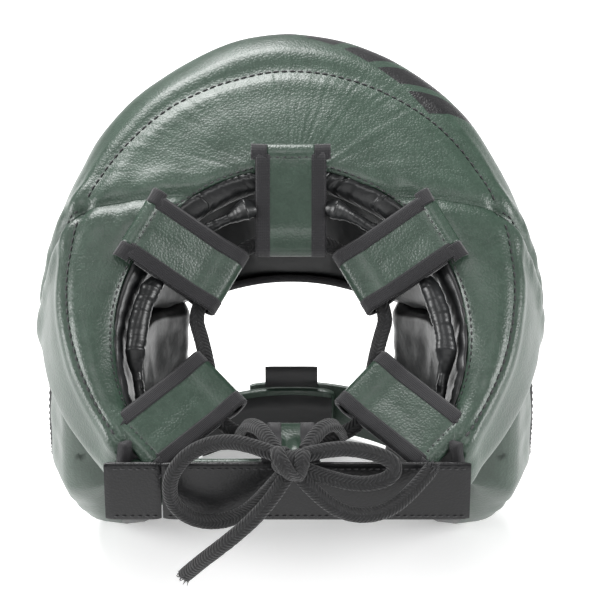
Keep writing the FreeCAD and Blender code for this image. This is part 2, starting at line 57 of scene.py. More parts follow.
# ------------------------------------------------------------------ shader sums
class Value:
    """A number socket of a material, which takes part in sums."""

    def __init__(self, recipe: "Recipe", socket: bpy.types.NodeSocket) -> None:
        """Keeps the socket and the recipe that it belongs to."""
        self.recipe = recipe
        self.socket = socket

    def sum(self, operation: str, other: Union["Value", float, None] = None,
            first: bool = True) -> "Value":
        """One step of arithmetic.

        Args:
            operation: the Math node's operation.
            other: the second number, if the operation has one.
            first: whether this value is the first of the two.

        Returns:
            The result.
        """
        pair = [self, other] if first else [other, self]
        inputs = {k: v for k, v in enumerate(pair) if v is not None}
        return self.recipe.add("ShaderNodeMath", {"operation": operation}, inputs)

    def __add__(self, other: Union["Value", float]) -> "Value":
        """self + other"""
        return self.sum("ADD", other)

    __radd__ = __add__

    def __sub__(self, other: Union["Value", float]) -> "Value":
        """self - other"""
        return self.sum("SUBTRACT", other)

    def __rsub__(self, other: float) -> "Value":
        """other - self"""
        return self.sum("SUBTRACT", other, first=False)

    def __mul__(self, other: Union["Value", float]) -> "Value":
        """self * other"""
        return self.sum("MULTIPLY", other)

    __rmul__ = __mul__

    def __truediv__(self, other: Union["Value", float]) -> "Value":
        """self / other"""
        return self.sum("DIVIDE", other)

    def absolute(self) -> "Value":
        """The size without the sign."""
        return self.sum("ABSOLUTE")

    def part(self) -> "Value":
        """What is left after the whole number."""
        return self.sum("FRACT")

    def sine(self) -> "Value":
        """The sine of an angle in radians."""
        return self.sum("SINE")

    def between(self, low: float, high: float) -> "Value":
        """0 below low, 1 above high, and smooth from one to the other.

        Args:
            low: the value that gives 0.
            high: the value that gives 1.

        Returns:
            The share, from 0 to 1.
        """
        settings = {"interpolation_type": "SMOOTHSTEP"}
        return self.recipe.add("ShaderNodeMapRange", settings,
                               {"Value": self, "From Min": low, "From Max": high})


class Recipe:
    """Builds the nodes of one material."""

    def __init__(self, name: str) -> None:
        """Starts a material with an empty surface shader.

        Args:
            name: its name.
        """
        self.material = bpy.data.materials.new(name)
        self.material.use_nodes = True
        self.tree = self.material.node_tree
        self.tree.nodes.clear()
        self.surface = self.tree.nodes.new("ShaderNodeBsdfPrincipled")
        output = self.tree.nodes.new("ShaderNodeOutputMaterial")
        self.tree.links.new(self.surface.outputs[0], output.inputs["Surface"])

    def feed(self, socket: bpy.types.NodeSocket, what: object) -> None:
        """Gives a socket a link from a value, or a plain setting.

        Args:
            socket: the output socket.
            what: a value to link, or a plain setting.
        """
        if isinstance(what, Value):
            self.tree.links.new(what.socket, socket)
        else:
            socket.default_value = what

    def add(self, kind: str, settings: Optional[dict] = None, inputs: Optional[dict] = None,
            output: Union[int, str] = 0) -> Value:
        """Adds a node.

        Args:
            kind: the node's type.
            settings: its properties, which are set before its sockets.
            inputs: values or links for its sockets, by name or by place.
            output: which of its outputs is wanted.

        Returns:
            That output.
        """
        node = self.tree.nodes.new(kind)
        for key, setting in (settings or {}).items():
            setattr(node, key, setting)
        for key, what in (inputs or {}).items():
            self.feed(node.inputs[key], what)
        return Value(self, node.outputs[output])

    def place(self) -> Value:
        """The point on the object, in metres."""
        return self.add("ShaderNodeTexCoord", output="Object")

    def laid(self, axis: str) -> Value:
        """Distance along (X) or across (Y) the cloth, in millimetres, or the third number (Z)."""
        lay = self.add("ShaderNodeAttribute", {"attribute_name": "laid"}, output="Vector")
        return self.add("ShaderNodeSeparateXYZ", None, {0: lay}, output=axis)

    def clouds(self, scale: float, detail: float = 2.0, where: Optional[Value] = None) -> Value:
        """Soft noise from 0 to 1, with scale features in a metre."""
        return self.add("ShaderNodeTexNoise", None,
                        {"Vector": where or self.place(), "Scale": scale, "Detail": detail})

    def cells(self, scale: float, feature: str = "F1") -> Value:
        """Distance to the nearest of many scattered points."""
        return self.add("ShaderNodeTexVoronoi", {"feature": feature},
                        {"Vector": self.place(), "Scale": scale}, output="Distance")

    def tint(self, factor: Union[Value, float], one: Union[Value, Sequence[float]],
             two: Union[Value, Sequence[float]]) -> Value:
        """A colour between two others.

        Args:
            factor: share of the second colour.
            one: the first colour.
            two: the second colour.

        Returns:
            The mixed colour.
        """
        colours = [c if isinstance(c, Value) else (*c, 1.0) for c in (one, two)]
        return self.add("ShaderNodeMix", {"data_type": "RGBA"},
                        {0: factor, 6: colours[0], 7: colours[1]}, output=2)

    def relief(self, height: Value, depth: float, strength: float = 1.0,
               under: Optional[Value] = None) -> Value:
        """Bumps of a real depth in metres.

        Args:
            height: the heights, from 0 to 1.
            depth: real depth in metres.
            strength: how strongly it shows.
            under: the relief beneath it.

        Returns:
            The normal to feed on.
        """
        inputs = {"Height": height, "Distance": depth, "Strength": strength}
        if under is not None:
            inputs["Normal"] = under
        return self.add("ShaderNodeBump", None, inputs)

    def finish(self, **sockets: object) -> bpy.types.Material:
        """Feeds the surface shader: Base_Color for Base Color, and so on."""
        for key, what in sockets.items():
            self.feed(self.surface.inputs[key.replace("_", " ")], what)
        return self.material


# ------------------------------------------------------------------ finishes
@dataclass(frozen=True)
class GrainedLeather:
    """Synthetic leather with a fine pebbled grain and a soft shine."""

    name: str
    deep: tuple[float, float, float] = (0.017, 0.037, 0.024)
    light: tuple[float, float, float] = (0.036, 0.068, 0.047)
    roughness: float = 0.37
    grain: float = 850.0
    grain_depth: float = 0.00016
    crease_depth: float = 0.00055
    shine: float = 0.6
    coat: float = 0.22
    banded: bool = False

    def make(self) -> bpy.types.Material:
        """Builds the material."""
        recipe = Recipe(self.name)
        place = recipe.place()
        broad = recipe.clouds(9.0, 3.0, place)
        fine = recipe.clouds(160.0, 4.0, place)
        pebbles = recipe.cells(self.grain)
        creases = recipe.clouds(34.0, 5.0, place)
        shade = (broad * 0.7 + fine * 0.3).between(0.3, 0.7)
        colour = recipe.tint(shade, self.deep, self.light)
        pores = pebbles.between(0.25, 0.75)
        colour = recipe.tint(pores * 0.22, colour, tuple(0.45 * c for c in self.deep))
        if self.banded:
            colour = recipe.tint(self.band(recipe), colour, (0.006, 0.006, 0.007))
        grain = recipe.relief(1 - pores, self.grain_depth, 0.5)
        soft = recipe.relief(creases, self.crease_depth, 0.55, grain)
        rough = self.roughness + fine * 0.14 - broad * 0.05
        return recipe.finish(Base_Color=colour, Roughness=rough, Normal=soft,
                             Specular_IOR_Level=self.shine, Coat_Weight=self.coat,
                             Coat_Roughness=0.3)

    def band(self, recipe: Recipe) -> Value:
        """Mask of the plain black forehead band, cut by slanted gaps.

        Args:
            recipe: the material being built.

        Returns:
            1 inside the band and 0 outside it.
        """
        turn, down = recipe.laid("Z"), recipe.laid("Y")
        start = 22.0 + turn * 0.33
        inside = (down - start).between(-0.25, 0.25) * (1 - (down - 86.0).between(-0.25, 0.25))
        sides = (turn + 62.0).between(-0.2, 0.2) * (1 - (turn - 40.0).between(-0.2, 0.2))
        slanted = ((turn + down * 0.42 + 200.0) / 17.0).part()
        gaps = (slanted - 0.27).between(-0.02, 0.02)
        return inside * sides * gaps


@dataclass(frozen=True)
class GlossyLining:
    """Thin black coated lining, shiny and finely wrinkled."""

    name: str = "black_lining"

    def make(self) -> bpy.types.Material:
        """Builds the material."""
        recipe = Recipe(self.name)
        place = recipe.place()
        broad = recipe.clouds(26.0, 4.0, place)
        fine = recipe.clouds(240.0, 3.0, place)
        colour = recipe.tint(broad.between(0.3, 0.75), (0.006, 0.0065, 0.007),
                             (0.019, 0.02, 0.021))
        fine_relief = recipe.relief(fine, 0.00025, 0.5)
        wrinkles = recipe.relief(broad, 0.0024, 0.6, fine_relief)
        rough = 0.3 + fine * 0.16
        return recipe.finish(Base_Color=colour, Roughness=rough, Normal=wrinkles,
                             Specular_IOR_Level=0.42, Coat_Weight=0.1, Coat_Roughness=0.2)


@dataclass(frozen=True)
class WovenTape:
    """Matt binding tape: fine ribs across, with a slightly purple black."""

    name: str = "binding_tape"
    rib: float = 0.75
    dark: tuple[float, float, float] = (0.007, 0.007, 0.008)
    light: tuple[float, float, float] = (0.022, 0.021, 0.024)

    def make(self) -> bpy.types.Material:
        """Builds the material."""
        recipe = Recipe(self.name)
        along, across = recipe.laid("X"), recipe.laid("Y")
        turns = 2 * math.pi / self.rib
        ribs = (along * turns).sine() * 0.5 + 0.5
        cross = (across * turns * 0.8).sine() * 0.5 + 0.5
        weave = ribs * 0.7 + cross * 0.3
        lint = recipe.clouds(420.0, 3.0)
        colour = recipe.tint(weave * 0.6 + lint * 0.4, self.dark, self.light)
        relief = recipe.relief(weave, 0.00022, 0.7)
        soft = recipe.relief(recipe.clouds(120.0, 3.0), 0.0007, 0.4, relief)
        rough = 0.74 + lint * 0.16
        return recipe.finish(Base_Color=colour, Roughness=rough, Normal=soft,
                             Specular_IOR_Level=0.35, Sheen_Weight=0.18)


@dataclass(frozen=True)
class FlatBraid:
    """Braided lace: two rows of slanted strands with pale specks between them."""

    name: str = "braided_lace"
    pitch: float = 1.9
    dark: tuple[float, float, float] = (0.003, 0.003, 0.0035)
    light: tuple[float, float, float] = (0.010, 0.010, 0.011)

    def make(self) -> bpy.types.Material:
        """Builds the material."""
        recipe = Recipe(self.name)
        along, across = recipe.laid("X"), recipe.laid("Y")
        strand = ((along + across.absolute() * 0.9) / self.pitch).part()
        round_strand = 1 - (strand * 2.0 - 1.0).absolute()
        finer = (((along * 1.0 - across.absolute() * 2.2) / 0.8).part() * 2.0 - 1.0).absolute()
        height = round_strand.between(0.0, 0.8) * (0.72 + finer * 0.28)
        middle = across.absolute().between(0.0, 0.7)
        height = height * (0.45 + middle * 0.55)
        fuzz = recipe.clouds(900.0, 2.0)
        specks = (1 - round_strand.between(0.0, 0.3)) * fuzz.between(0.5, 0.7)
        colour = recipe.tint(height * 0.8 + fuzz * 0.2, self.dark, self.light)
        colour = recipe.tint(specks * 0.35, colour, (0.16, 0.16, 0.17))
        relief = recipe.relief(height, 0.0005, 0.8)
        rough = 0.66 + fuzz * 0.2
        return recipe.finish(Base_Color=colour, Roughness=rough, Normal=relief,
                             Specular_IOR_Level=0.4, Sheen_Weight=0.15)


@dataclass(frozen=True)
class Thread:
    """Twisted sewing thread."""

    name: str = "black_thread"
    colour: tuple[float, float, float] = (0.012, 0.012, 0.013)

    def make(self) -> bpy.types.Material:
        """Builds the material."""
        recipe = Recipe(self.name)
        fuzz = recipe.clouds(1800.0, 2.0)
        colour = recipe.tint(fuzz, self.colour, tuple(3.0 * c for c in self.colour))
        return recipe.finish(Base_Color=colour, Roughness=0.5 + fuzz * 0.2,
                             Normal=recipe.relief(fuzz, 0.0002, 0.5))


class Nap(Enum):
    """The two halves of a hook-and-loop fastener."""

    LOOPS = "loops"
    HOOKS = "hooks"


@dataclass(frozen=True)
class Fastener:
    """Hook-and-loop fastener: a felted nap, or rows of small hooks."""

    nap: Nap

    def make(self) -> bpy.types.Material:
        """Builds the material."""
        recipe = Recipe(f"fastener_{self.nap.value}")
        if self.nap is Nap.LOOPS:
            height = recipe.clouds(1300.0, 5.0)
        else:
            height = 1 - recipe.cells(850.0).between(0.1, 0.6)
        colour = recipe.tint(height, (0.006, 0.006, 0.006), (0.045, 0.045, 0.047))
        return recipe.finish(Base_Color=colour, Roughness=0.75 + height * 0.15,
                             Normal=recipe.relief(height, 0.0008, 0.8))


@dataclass(frozen=True)
class Satin:
    """Smooth woven label tape with a silky line across it."""

    name: str = "label_satin"

    def make(self) -> bpy.types.Material:
        """Builds the material."""
        recipe = Recipe(self.name)
        lines = (recipe.laid("X") * 14.0).sine() * 0.5 + 0.5
        colour = recipe.tint(lines, (0.008, 0.008, 0.009), (0.022, 0.022, 0.024))
        return recipe.finish(Base_Color=colour, Roughness=0.38 + lines * 0.1,
                             Normal=recipe.relief(lines, 0.0001, 0.5), Sheen_Weight=0.3)


@dataclass(frozen=True)
class Paper:
    """The plain pale floor."""

    name: str = "floor_paper"

    def make(self) -> bpy.types.Material:
        """Builds the material."""
        recipe = Recipe(self.name)
        dust = recipe.clouds(6.0, 3.0)
        colour = recipe.tint(dust, (0.9, 0.9, 0.9), (0.93, 0.93, 0.93))
        return recipe.finish(Base_Color=colour, Roughness=0.9, Emission_Color=(1.0, 1.0, 1.0, 1.0),
                             Emission_Strength=0.32)


class Wardrobe:
    """Every finish of the headgear, made once."""

    def __init__(self) -> None:
        """Builds the materials."""
        self.green = GrainedLeather("green_leather").make()
        self.front = GrainedLeather("green_leather_banded", banded=True).make()
        self.strap = GrainedLeather("black_leather", deep=(0.003, 0.003, 0.0035),
                                    light=(0.008, 0.008, 0.009), roughness=0.33,
                                    shine=0.3, coat=0.06).make()
        self.lining = GlossyLining().make()
        self.tape = WovenTape().make()
        self.lace = FlatBraid().make()
        self.thread = Thread().make()
        self.loops = Fastener(Nap.LOOPS).make()
        self.hooks = Fastener(Nap.HOOKS).make()
        self.satin = Satin().make()


# ------------------------------------------------------------------ meshes
def ripple(point: Vector, size: float, seed: float = 0.0) -> float:
    """Smooth noise from -1 to 1 with features about size millimetres long."""
    return noise.noise(Vector((point.x / size + seed, point.y / size - seed, point.z / size)))


def ease(value: float, low: float, high: float) -> float:
    """0 below low, 1 above high, and smooth from one to the other."""
    t = min(1.0, max(0.0, (value - low) / (high - low)))
    return t * t * (3 - 2 * t)


def bell(distance: float, width: float) -> float:
    """1 at no distance, falling away over width."""
    return math.exp(-(distance / width) ** 2)


def to_frame(point: Vector) -> Vector:
    """A point about the head's own axis in millimetres, as a point of the frame in metres."""
    return Vector((point.x, point.y + HEAD_Y, point.z)) * MM


def flowing(points: Sequence[Vector], count: int) -> list[Vector]:
    """A smooth line through the points.

    Args:
        points: the points it goes through.
        count: how many points the line gets, evenly spaced along it.

    Returns:
        The points of the line.
    """
    ends = [points[0] * 2 - points[1]] + list(points) + [points[-1] * 2 - points[-2]]
    dense: list[Vector] = []
    for k in range(1, len(ends) - 2):
        before, start, end, after = ends[k - 1:k + 3]
        for step in range(10):
            t = step / 10
            dense.append(0.5 * (2 * start + (end - before) * t
                                + (2 * before - 5 * start + 4 * end - after) * t * t
                                + (3 * start - before - 3 * end + after) * t ** 3))
    dense.append(ends[-2])
    return spaced(dense, count)


def spaced(line: Sequence[Vector], count: int) -> list[Vector]:
    """The same line with a number of evenly spaced points.

    Args:
        line: points in order.
        count: how many points the new line gets.

    Returns:
        The evenly spaced points.
    """
    lengths = [0.0]
    for here, there in zip(line, line[1:]):
        lengths.append(lengths[-1] + (there - here).length)
    result, k = [], 0
    for step in range(count):
        want = lengths[-1] * step / (count - 1)
        while k < len(line) - 2 and lengths[k + 1] < want:
            k += 1
        share = (want - lengths[k]) / max(lengths[k + 1] - lengths[k], 1e-9)
        result.append(line[k].lerp(line[k + 1], min(1.0, share)))
    return result


def grid_normals(grid: Grid, wrap: bool = False) -> Grid:
    """The way each point of a grid faces: across the columns, then along the rows.

    Args:
        grid: rows of points.
        wrap: whether the last column joins the first.

    Returns:
        The directions, row by row.
    """
    rows, columns = len(grid), len(grid[0])
    normals: Grid = []
    for i in range(rows):
        line = []
        for j in range(columns):
            down = grid[min(i + 1, rows - 1)][j] - grid[max(i - 1, 0)][j]
            if wrap:
                along = grid[i][(j + 1) % columns] - grid[i][j - 1]
            else:
                along = grid[i][min(j + 1, columns - 1)] - grid[i][max(j - 1, 0)]
            line.append(down.cross(along).normalized())
        normals.append(line)
    return normals


class Piece:
    """A mesh made of grids of points, in millimetres about the head's axis."""

    def __init__(self, name: str) -> None:
        """Starts an empty piece.

        Args:
            name: its name.
        """
        self.name = name
        self.points: list[Vector] = []
        self.laid: list[tuple[float, float, float]] = []
        self.faces: list[tuple[int, ...]] = []

    def sheet(self, grid: Grid, laid: Callable[[int, int], tuple[float, float, float]],
              wrap: bool = False, skip: Optional[Callable[[int, int], bool]] = None,
              flip: bool = False) -> None:
        """Adds a grid of faces.

        Args:
            grid: rows of points.
            laid: where a point of the grid lies on the flat cloth, in millimetres.
            wrap: whether the last column joins the first.
            skip: says which faces are left out.
            flip: whether the faces look the other way.
        """
        start, columns = len(self.points), len(grid[0])
        for i, row in enumerate(grid):
            for j, point in enumerate(row):
                self.points.append(point)
                self.laid.append(laid(i, j))
        for i in range(len(grid) - 1):
            for j in range(columns if wrap else columns - 1):
                if skip and skip(i, j):
                    continue
                k = (j + 1) % columns
                face = [start + i * columns + j, start + i * columns + k,
                        start + (i + 1) * columns + k, start + (i + 1) * columns + j]
                self.faces.append(tuple(face if flip else face[::-1]))

    def cap(self, ring: Sequence[Vector], flip: bool = False) -> None:
        """Closes a ring of points with a fan of faces.

        Args:
            ring: the points round it.
            flip: whether the faces look the other way.
        """
        start = len(self.points)
        middle = sum(ring, Vector()) / len(ring)
        self.points += list(ring) + [middle]
        self.laid += [(0.0, 0.0, 0.0)] * (len(ring) + 1)
        for k in range(len(ring)):
            face = (start + k, start + (k + 1) % len(ring), start + len(ring))
            self.faces.append(face if flip else face[::-1])

    def build(self, body: str, slot: str, material: bpy.types.Material,
              nodes: Sequence[str] = (), thickness: float = 0.0,
              padded: Optional[float] = None) -> bpy.types.Object:
        """Makes the object and hands it to the frame.

        Args:
            body: the CAD body that it moves with.
            slot: not used.
            material: its finish.
            nodes: the CAD nodes that it stands for.
            thickness: thickness given to an open sheet, in millimetres.
            padded: not used.

        Returns:
            The object.
        """
        mesh = bpy.data.meshes.new(self.name)
        mesh.from_pydata([to_frame(p) for p in self.points], [], self.faces)
        laid = mesh.attributes.new("laid", "FLOAT_VECTOR", "POINT")
        laid.data.foreach_set("vector", [x for entry in self.laid for x in entry])
        mesh.polygons.foreach_set("use_smooth", [True] * len(mesh.polygons))
        mesh.materials.append(material)
        mesh.validate()
        thing = bpy.data.objects.new(self.name, mesh)
        bpy.context.collection.objects.link(thing)
        if thickness:
            solid = thing.modifiers.new("thickness", "SOLIDIFY")
            solid.thickness = thickness * MM
            solid.offset = -1.0
        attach(thing, body)
        if nodes:
            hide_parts(*nodes)
        LOG.info("%s: %d faces", self.name, len(mesh.polygons))
        return thing


@dataclass
class Seam:
    """A row of stitches, lying on a surface."""

    pitch: float = 3.3
    length: float = 2.3
    radius: float = 0.42
    sink: float = 0.1

    def sew(self, piece: Piece, line: Sequence[Vector], facing: Sequence[Vector]) -> None:
        """Adds the stitches of one row.

        Args:
            piece: the piece that gets them.
            line: points along the row.
            facing: the way the surface faces at each of them.
        """
        total = sum((b - a).length for a, b in zip(line, line[1:]))
        count = max(3, int(total / self.pitch * 3))
        fine = spaced(line, count)
        last = len(facing) - 1
        ways = [facing[min(last, round(k * last / (count - 1)))] for k in range(count)]
        for k in range(1, count - 1, 3):
            along = (fine[k + 1] - fine[k - 1]).normalized()
            up = (ways[k] - along * ways[k].dot(along)).normalized()
            side = along.cross(up)
            rings = []
            for place, size in ((-1.0, 0.35), (-0.6, 0.9), (0.0, 1.05), (0.6, 0.9), (1.0, 0.35)):
                middle = fine[k] + along * (place * self.length / 2) \
                    + up * (self.radius * (0.8 - place * place * 0.9) - self.sink)
                rings.append([middle + (side * math.cos(a) + up * math.sin(a))
                              * self.radius * size
                              for a in (2 * math.pi * s / 6 for s in range(6))])
            piece.sheet(rings, lambda i, j: (float(i), float(j), 0.0), wrap=True)


SEAM = Seam()
RIDGE_SEAM = Seam(pitch=4.0, length=3.2, radius=0.5)
EAR_SEAM = Seam(radius=0.3, sink=0.2)


# ------------------------------------------------------------------ the padded head shell
@dataclass(frozen=True)
class Ring:
    """A closed line round the head: an oval in plan that climbs evenly from back to front."""

    half_width: float
    front: float
    back: float
    front_z: float
    back_z: float

    def radius(self, angle: float) -> float:
        """Distance from the head's axis, at an angle in radians from the front.

        Args:
            angle: radians from the front.

        Returns:
            The distance in millimetres.
        """
        half = (self.front + self.back) / 2
        middle = (self.front - self.back) / 2
        across, ahead = math.sin(angle), math.cos(angle)
        square = (across / self.half_width) ** 2 + (ahead / half) ** 2
        slope = -2 * ahead * middle / half ** 2
        rest = (middle / half) ** 2 - 1
        return (-slope + math.sqrt(slope ** 2 - 4 * square * rest)) / (2 * square)

    def point(self, angle: float) -> Flat:
        """Distance out and height, at an angle in radians from the front.

        Args:
            angle: radians from the front.

        Returns:
            Distance out and height.
        """
        out = self.radius(angle)
        climb = (self.front_z - self.back_z) / (self.front + self.back)
        return out, self.front_z + climb * (out * math.cos(angle) - self.front)


def around(flat: Flat, degrees: float) -> Vector:
    """A point given by its distance out and height, at degrees from the front."""
    angle = math.radians(degrees)
    return Vector((flat[0] * math.sin(angle), -flat[0] * math.cos(angle), flat[1]))


@dataclass
class Shell:
    """Sizes of the head shell: its rim, its rings and its lower edge."""

    rim: Ring = Ring(83, 8, 112, 212, 95)
    ridge: Ring = Ring(108, 56, 133, 239, 100)
    shoulder: Ring = Ring(118, 92, 134, 248, 98)
    girth: Ring = Ring(123, 126, 138, 180, 90)
    hem_out: Ring = Ring(117, 119, 125, 0, 0)
    core_bend: Ring = Ring(82, 112, 118, 0, 0)
    hem_in: Ring = Ring(76, 85, 104, 0, 0)
    rim_edge: float = 9.0
    rim_lean: float = -5.0
    front_end: float = 92.0
    wing_end: float = 142.0
    wing_taper: float = 0.10

    def hem_height(self, degrees: float) -> float:
        """Height of the lower edge."""
        side, nape = ease(abs(degrees), 38, 72), ease(abs(degrees), 112, self.wing_end)
        return 104 + 14 * side - 30 * nape

    def ridge_point(self, degrees: float) -> Flat:
        """The stitched seam between the crown panel and the outer panel.

        Args:
            degrees: degrees from the front.

        Returns:
            Distance out and height.
        """
        angle = math.radians(degrees)
        rim = self.rim.point(angle)
        base = self.hem_in.radius(angle)
        out, up = self.ridge.point(angle)
        return max(base + (out - base) * self.thin(degrees), rim[0] + self.rim_edge), up

    def thin(self, degrees: float) -> float:
        """How much thinner the padding gets towards a wing's end."""
        return 1 - self.wing_taper * ease(abs(degrees), self.front_end, self.wing_end)

    def crown_line(self, degrees: float) -> list[Flat]:
        """From the rim of the crown opening to the seam.

        Args:
            degrees: degrees from the front.

        Returns:
            Distances out and heights, from the rim down.
        """
        rim, ridge = self.rim.point(math.radians(degrees)), self.ridge_point(degrees)
        middle = ((rim[0] + ridge[0]) / 2, (rim[1] + ridge[1]) / 2 + 1.5)
        return [rim, middle, ridge]

    def outer_line(self, degrees: float) -> list[Flat]:
        """From the seam over the roll and down to the lower edge.

        Args:
            degrees: degrees from the front.

        Returns:
            Distances out and heights, from the seam down.
        """
        angle = math.radians(degrees)
        base, thin = self.hem_in.radius(angle), self.thin(degrees)

        def pull(flat: Flat) -> Flat:
            """Draws a point in where the padding is thinner."""
            return base + (flat[0] - base) * thin, flat[1]

        ridge = self.ridge_point(degrees)
        shoulder, girth = (pull(r.point(angle)) for r in (self.shoulder, self.girth))
        crest = (shoulder[0] * 0.96 + ridge[0] * 0.04, shoulder[1])
        hem = pull((self.hem_out.radius(angle), self.hem_height(degrees)))
        line = [ridge]
        for k in (1, 2, 3, 4):
            t = k / 4
            line.append(tuple((1 - t) ** 2 * ridge[i] + 2 * t * (1 - t) * crest[i]
                              + t * t * girth[i] for i in (0, 1)))
        low = (hem[0] * 0.75 + girth[0] * 0.25 + 1.0, hem[1] * 0.8 + girth[1] * 0.2)
        return line + [low, (hem[0] - 1.0, hem[1] + 1.5), (hem[0] - 6.0, hem[1] - 0.6)]

    def inner_line(self, degrees: float) -> list[Flat]:
        """From the rim over its edge, down the inside and out under the lower edge.

        Args:
            degrees: degrees from the front.

        Returns:
            Distances out and heights, from the rim down.
        """
        angle = math.radians(degrees)
        out, up = self.rim.point(angle)
        top = (out + self.rim_lean, up - self.rim_edge)
        hem = (self.hem_in.radius(angle), self.hem_height(degrees))
        ahead = max(0.0, math.cos(angle)) ** 2
        low = 0.5 - 0.38 * ahead
        bend = (max(self.core_bend.radius(angle), 0.5 * (top[0] + hem[0])),
                up + (hem[1] - up) * low)
        line = [(out + 0.8, up - 0.3), (out - 3.2, up - 2.8)]
        for k in range(6):
            t = k / 5
            line.append(tuple((1 - t) ** 2 * top[i] + 2 * t * (1 - t) * bend[i] + t * t * hem[i]
                              for i in (0, 1)))
        far = self.hem_in.radius(angle) + (self.hem_out.radius(angle)
                                           - self.hem_in.radius(angle)) * self.thin(degrees)
        line[-1] = (hem[0] + 1.5, hem[1] + 2.5)
        return line + [(hem[0] + 6, hem[1] - 0.5), (far - 7, hem[1] - 0.7)]


def panel_turns(start: float, end: float, step: float) -> list[float]:
    """Angles from start to end, closer together near both ends.

    Args:
        start: angle in degrees where it starts.
        end: angle in degrees where it ends.
        step: degrees between two angles.

    Returns:
        The angles in order.
    """
    count = max(6, int(abs(end - start) / step))
    inside = [start + (end - start) * k / count for k in range(count + 1)]
    way = 1 if end > start else -1
    edges = [start + way * d for d in (0.25, 0.6, 1.2)] + [end - way * d for d in (1.2, 0.6, 0.25)]
    return sorted(set(inside + edges))


@dataclass
class LeatherPanel:
    """One padded panel of the head shell: leather outside, lining inside, and its seams."""

    name: str
    start: float
    end: float
    shell: Shell
    crown_rows: int = 16
    outer_rows: int = 46
    inner_rows: int = 34
    step: float = 0.9
    grids: dict[str, Grid] = field(default_factory=dict)
    facing: dict[str, Grid] = field(default_factory=dict)
    downs: list[list[float]] = field(default_factory=list)
    turns: list[float] = field(default_factory=list)

    def shape_leather(self) -> None:
        """Works out the outer grid: plain, then padded, gathered and creased."""
        self.turns = panel_turns(self.start, self.end, self.step)
        columns = []
        for degrees in self.turns:
            crown = flowing([around(p, degrees) for p in self.shell.crown_line(degrees)],
                            self.crown_rows)
            outer = flowing([around(p, degrees) for p in self.shell.outer_line(degrees)],
                            self.outer_rows)
            columns.append(crown[:-1] + outer)
        grid = [[column[i] for column in columns] for i in range(len(columns[0]))]
        seam = self.crown_rows - 1
        self.downs = []
        for column in columns:
            down = [0.0]
            for here, there in zip(column, column[1:]):
                down.append(down[-1] + (there - here).length)
            self.downs.append([d - down[seam] for d in down])
        normals = grid_normals(grid)
        moved = []
        for i, row in enumerate(grid):
            line = []
            for j, point in enumerate(row):
                line.append(point + normals[i][j] * self.lift(i, j, point))
            moved.append(line)
        self.grids["leather"] = moved
        self.facing["leather"] = grid_normals(moved)

    def lift(self, i: int, j: int, point: Vector) -> float:
        """How far the leather stands off its plain surface, in millimetres.

        Args:
            i: row of the grid.
            j: column of the grid.
            point: a point in millimetres about the head's axis.

        Returns:
            The height in millimetres.
        """
        seam = self.crown_rows - 1
        down = self.downs[j][i]
        width = -self.downs[j][0]
        end = min(abs(self.turns[j] - self.start), abs(self.turns[j] - self.end)) \
            * math.radians(1) * Vector((point.x, point.y)).length
        lift = -1.7 * bell(down, 1.5)
        lift += 1.3 * bell(down - 6.5, 4.5) + 0.9 * bell(down + 7.0, 5.0)
        gather = noise.noise(Vector((self.turns[j] * 0.55, down * 0.03, 3.1)))
        lift += 0.35 * gather * bell(down + 4, 9)
        lift += 0.18 * noise.noise(Vector((self.turns[j] * 0.28, down * 0.022, 7.7))) \
            * ease(-down, 0, width * 0.5)
        lift += 1.1 * ripple(point, 42, 5.0) + 0.4 * ripple(point, 17, 9.0)
        if i < seam:
            share = -down / max(width, 1.0)
            lift += 1.0 * math.sin(math.pi * share)
            lift -= 1.2 * bell(share * width - width, 2.2)
        deep = 0.5 + 0.5 * ease(down, -6, 6)
        lift -= 3.0 * bell(end, 2.6) * deep
        lift += 1.6 * bell(end - 8.0, 6.0) * deep
        ahead = max(0.0, math.cos(math.radians(self.turns[j]) * 0.9)) ** 1.2
        lift += 10.5 * ahead * bell(down - 30, 24) * ease(down, 0, 9) + 2.0 * ahead * bell(down, 30)
        pucker = noise.noise(Vector((down * 0.16, self.turns[j] * 0.02, 1.3)))
        lift += 0.9 * pucker * bell(end - 4, 9)
        return lift

    def shape_lining(self) -> None:
        """Works out the inner grid, loose and wrinkled."""
        columns = [flowing([around(p, degrees) for p in self.shell.inner_line(degrees)],
                           self.inner_rows) for degrees in self.turns]
        grid = [[column[i] for column in columns] for i in range(self.inner_rows)]
        normals = grid_normals(grid)
        moved = []
        for i, row in enumerate(grid):
            line = []
            for j, point in enumerate(row):
                turn = self.turns[j]
                gather = noise.noise(Vector((turn * 0.5, i * 0.05, 11.0)))
                fine = noise.noise(Vector((turn * 1.3, i * 0.08, 2.0)))
                near = ease(12 - i, 0, 9)
                lift = (0.9 * gather + 0.5 * fine) * near + 0.9 * ripple(point, 24, 2.0)
                line.append(point - normals[i][j] * lift)
            moved.append(line)
        self.grids["lining"] = moved

    def dress(self, wardrobe: Wardrobe, leather: bpy.types.Material, sign: str) -> None:
        """Makes the objects.

        Args:
            wardrobe: the finishes.
            leather: the finish of the outside.
            sign: start of the CAD nodes' names.
        """
        self.shape_leather()
        self.shape_lining()
        skin = Piece(f"{self.name}_leather")
        skin.sheet(self.grids["leather"],
                   lambda i, j: (self.turns[j] * 2.0, self.downs[j][i], self.turns[j]))
        skin.build("headgear", "green_leather", leather, [f"{sign}_skin", f"{sign}_foam"],
                   thickness=1.2, padded=0.85)
        lining = Piece(f"{self.name}_lining")
        lining.sheet(self.grids["lining"], lambda i, j: (self.turns[j] * 1.5, i * 3.0, 0.0),
                     flip=True)
        lining.build("headgear", "black_lining", wardrobe.lining, [f"{sign}_lining"],
                     thickness=0.8)
        self.sew(wardrobe)

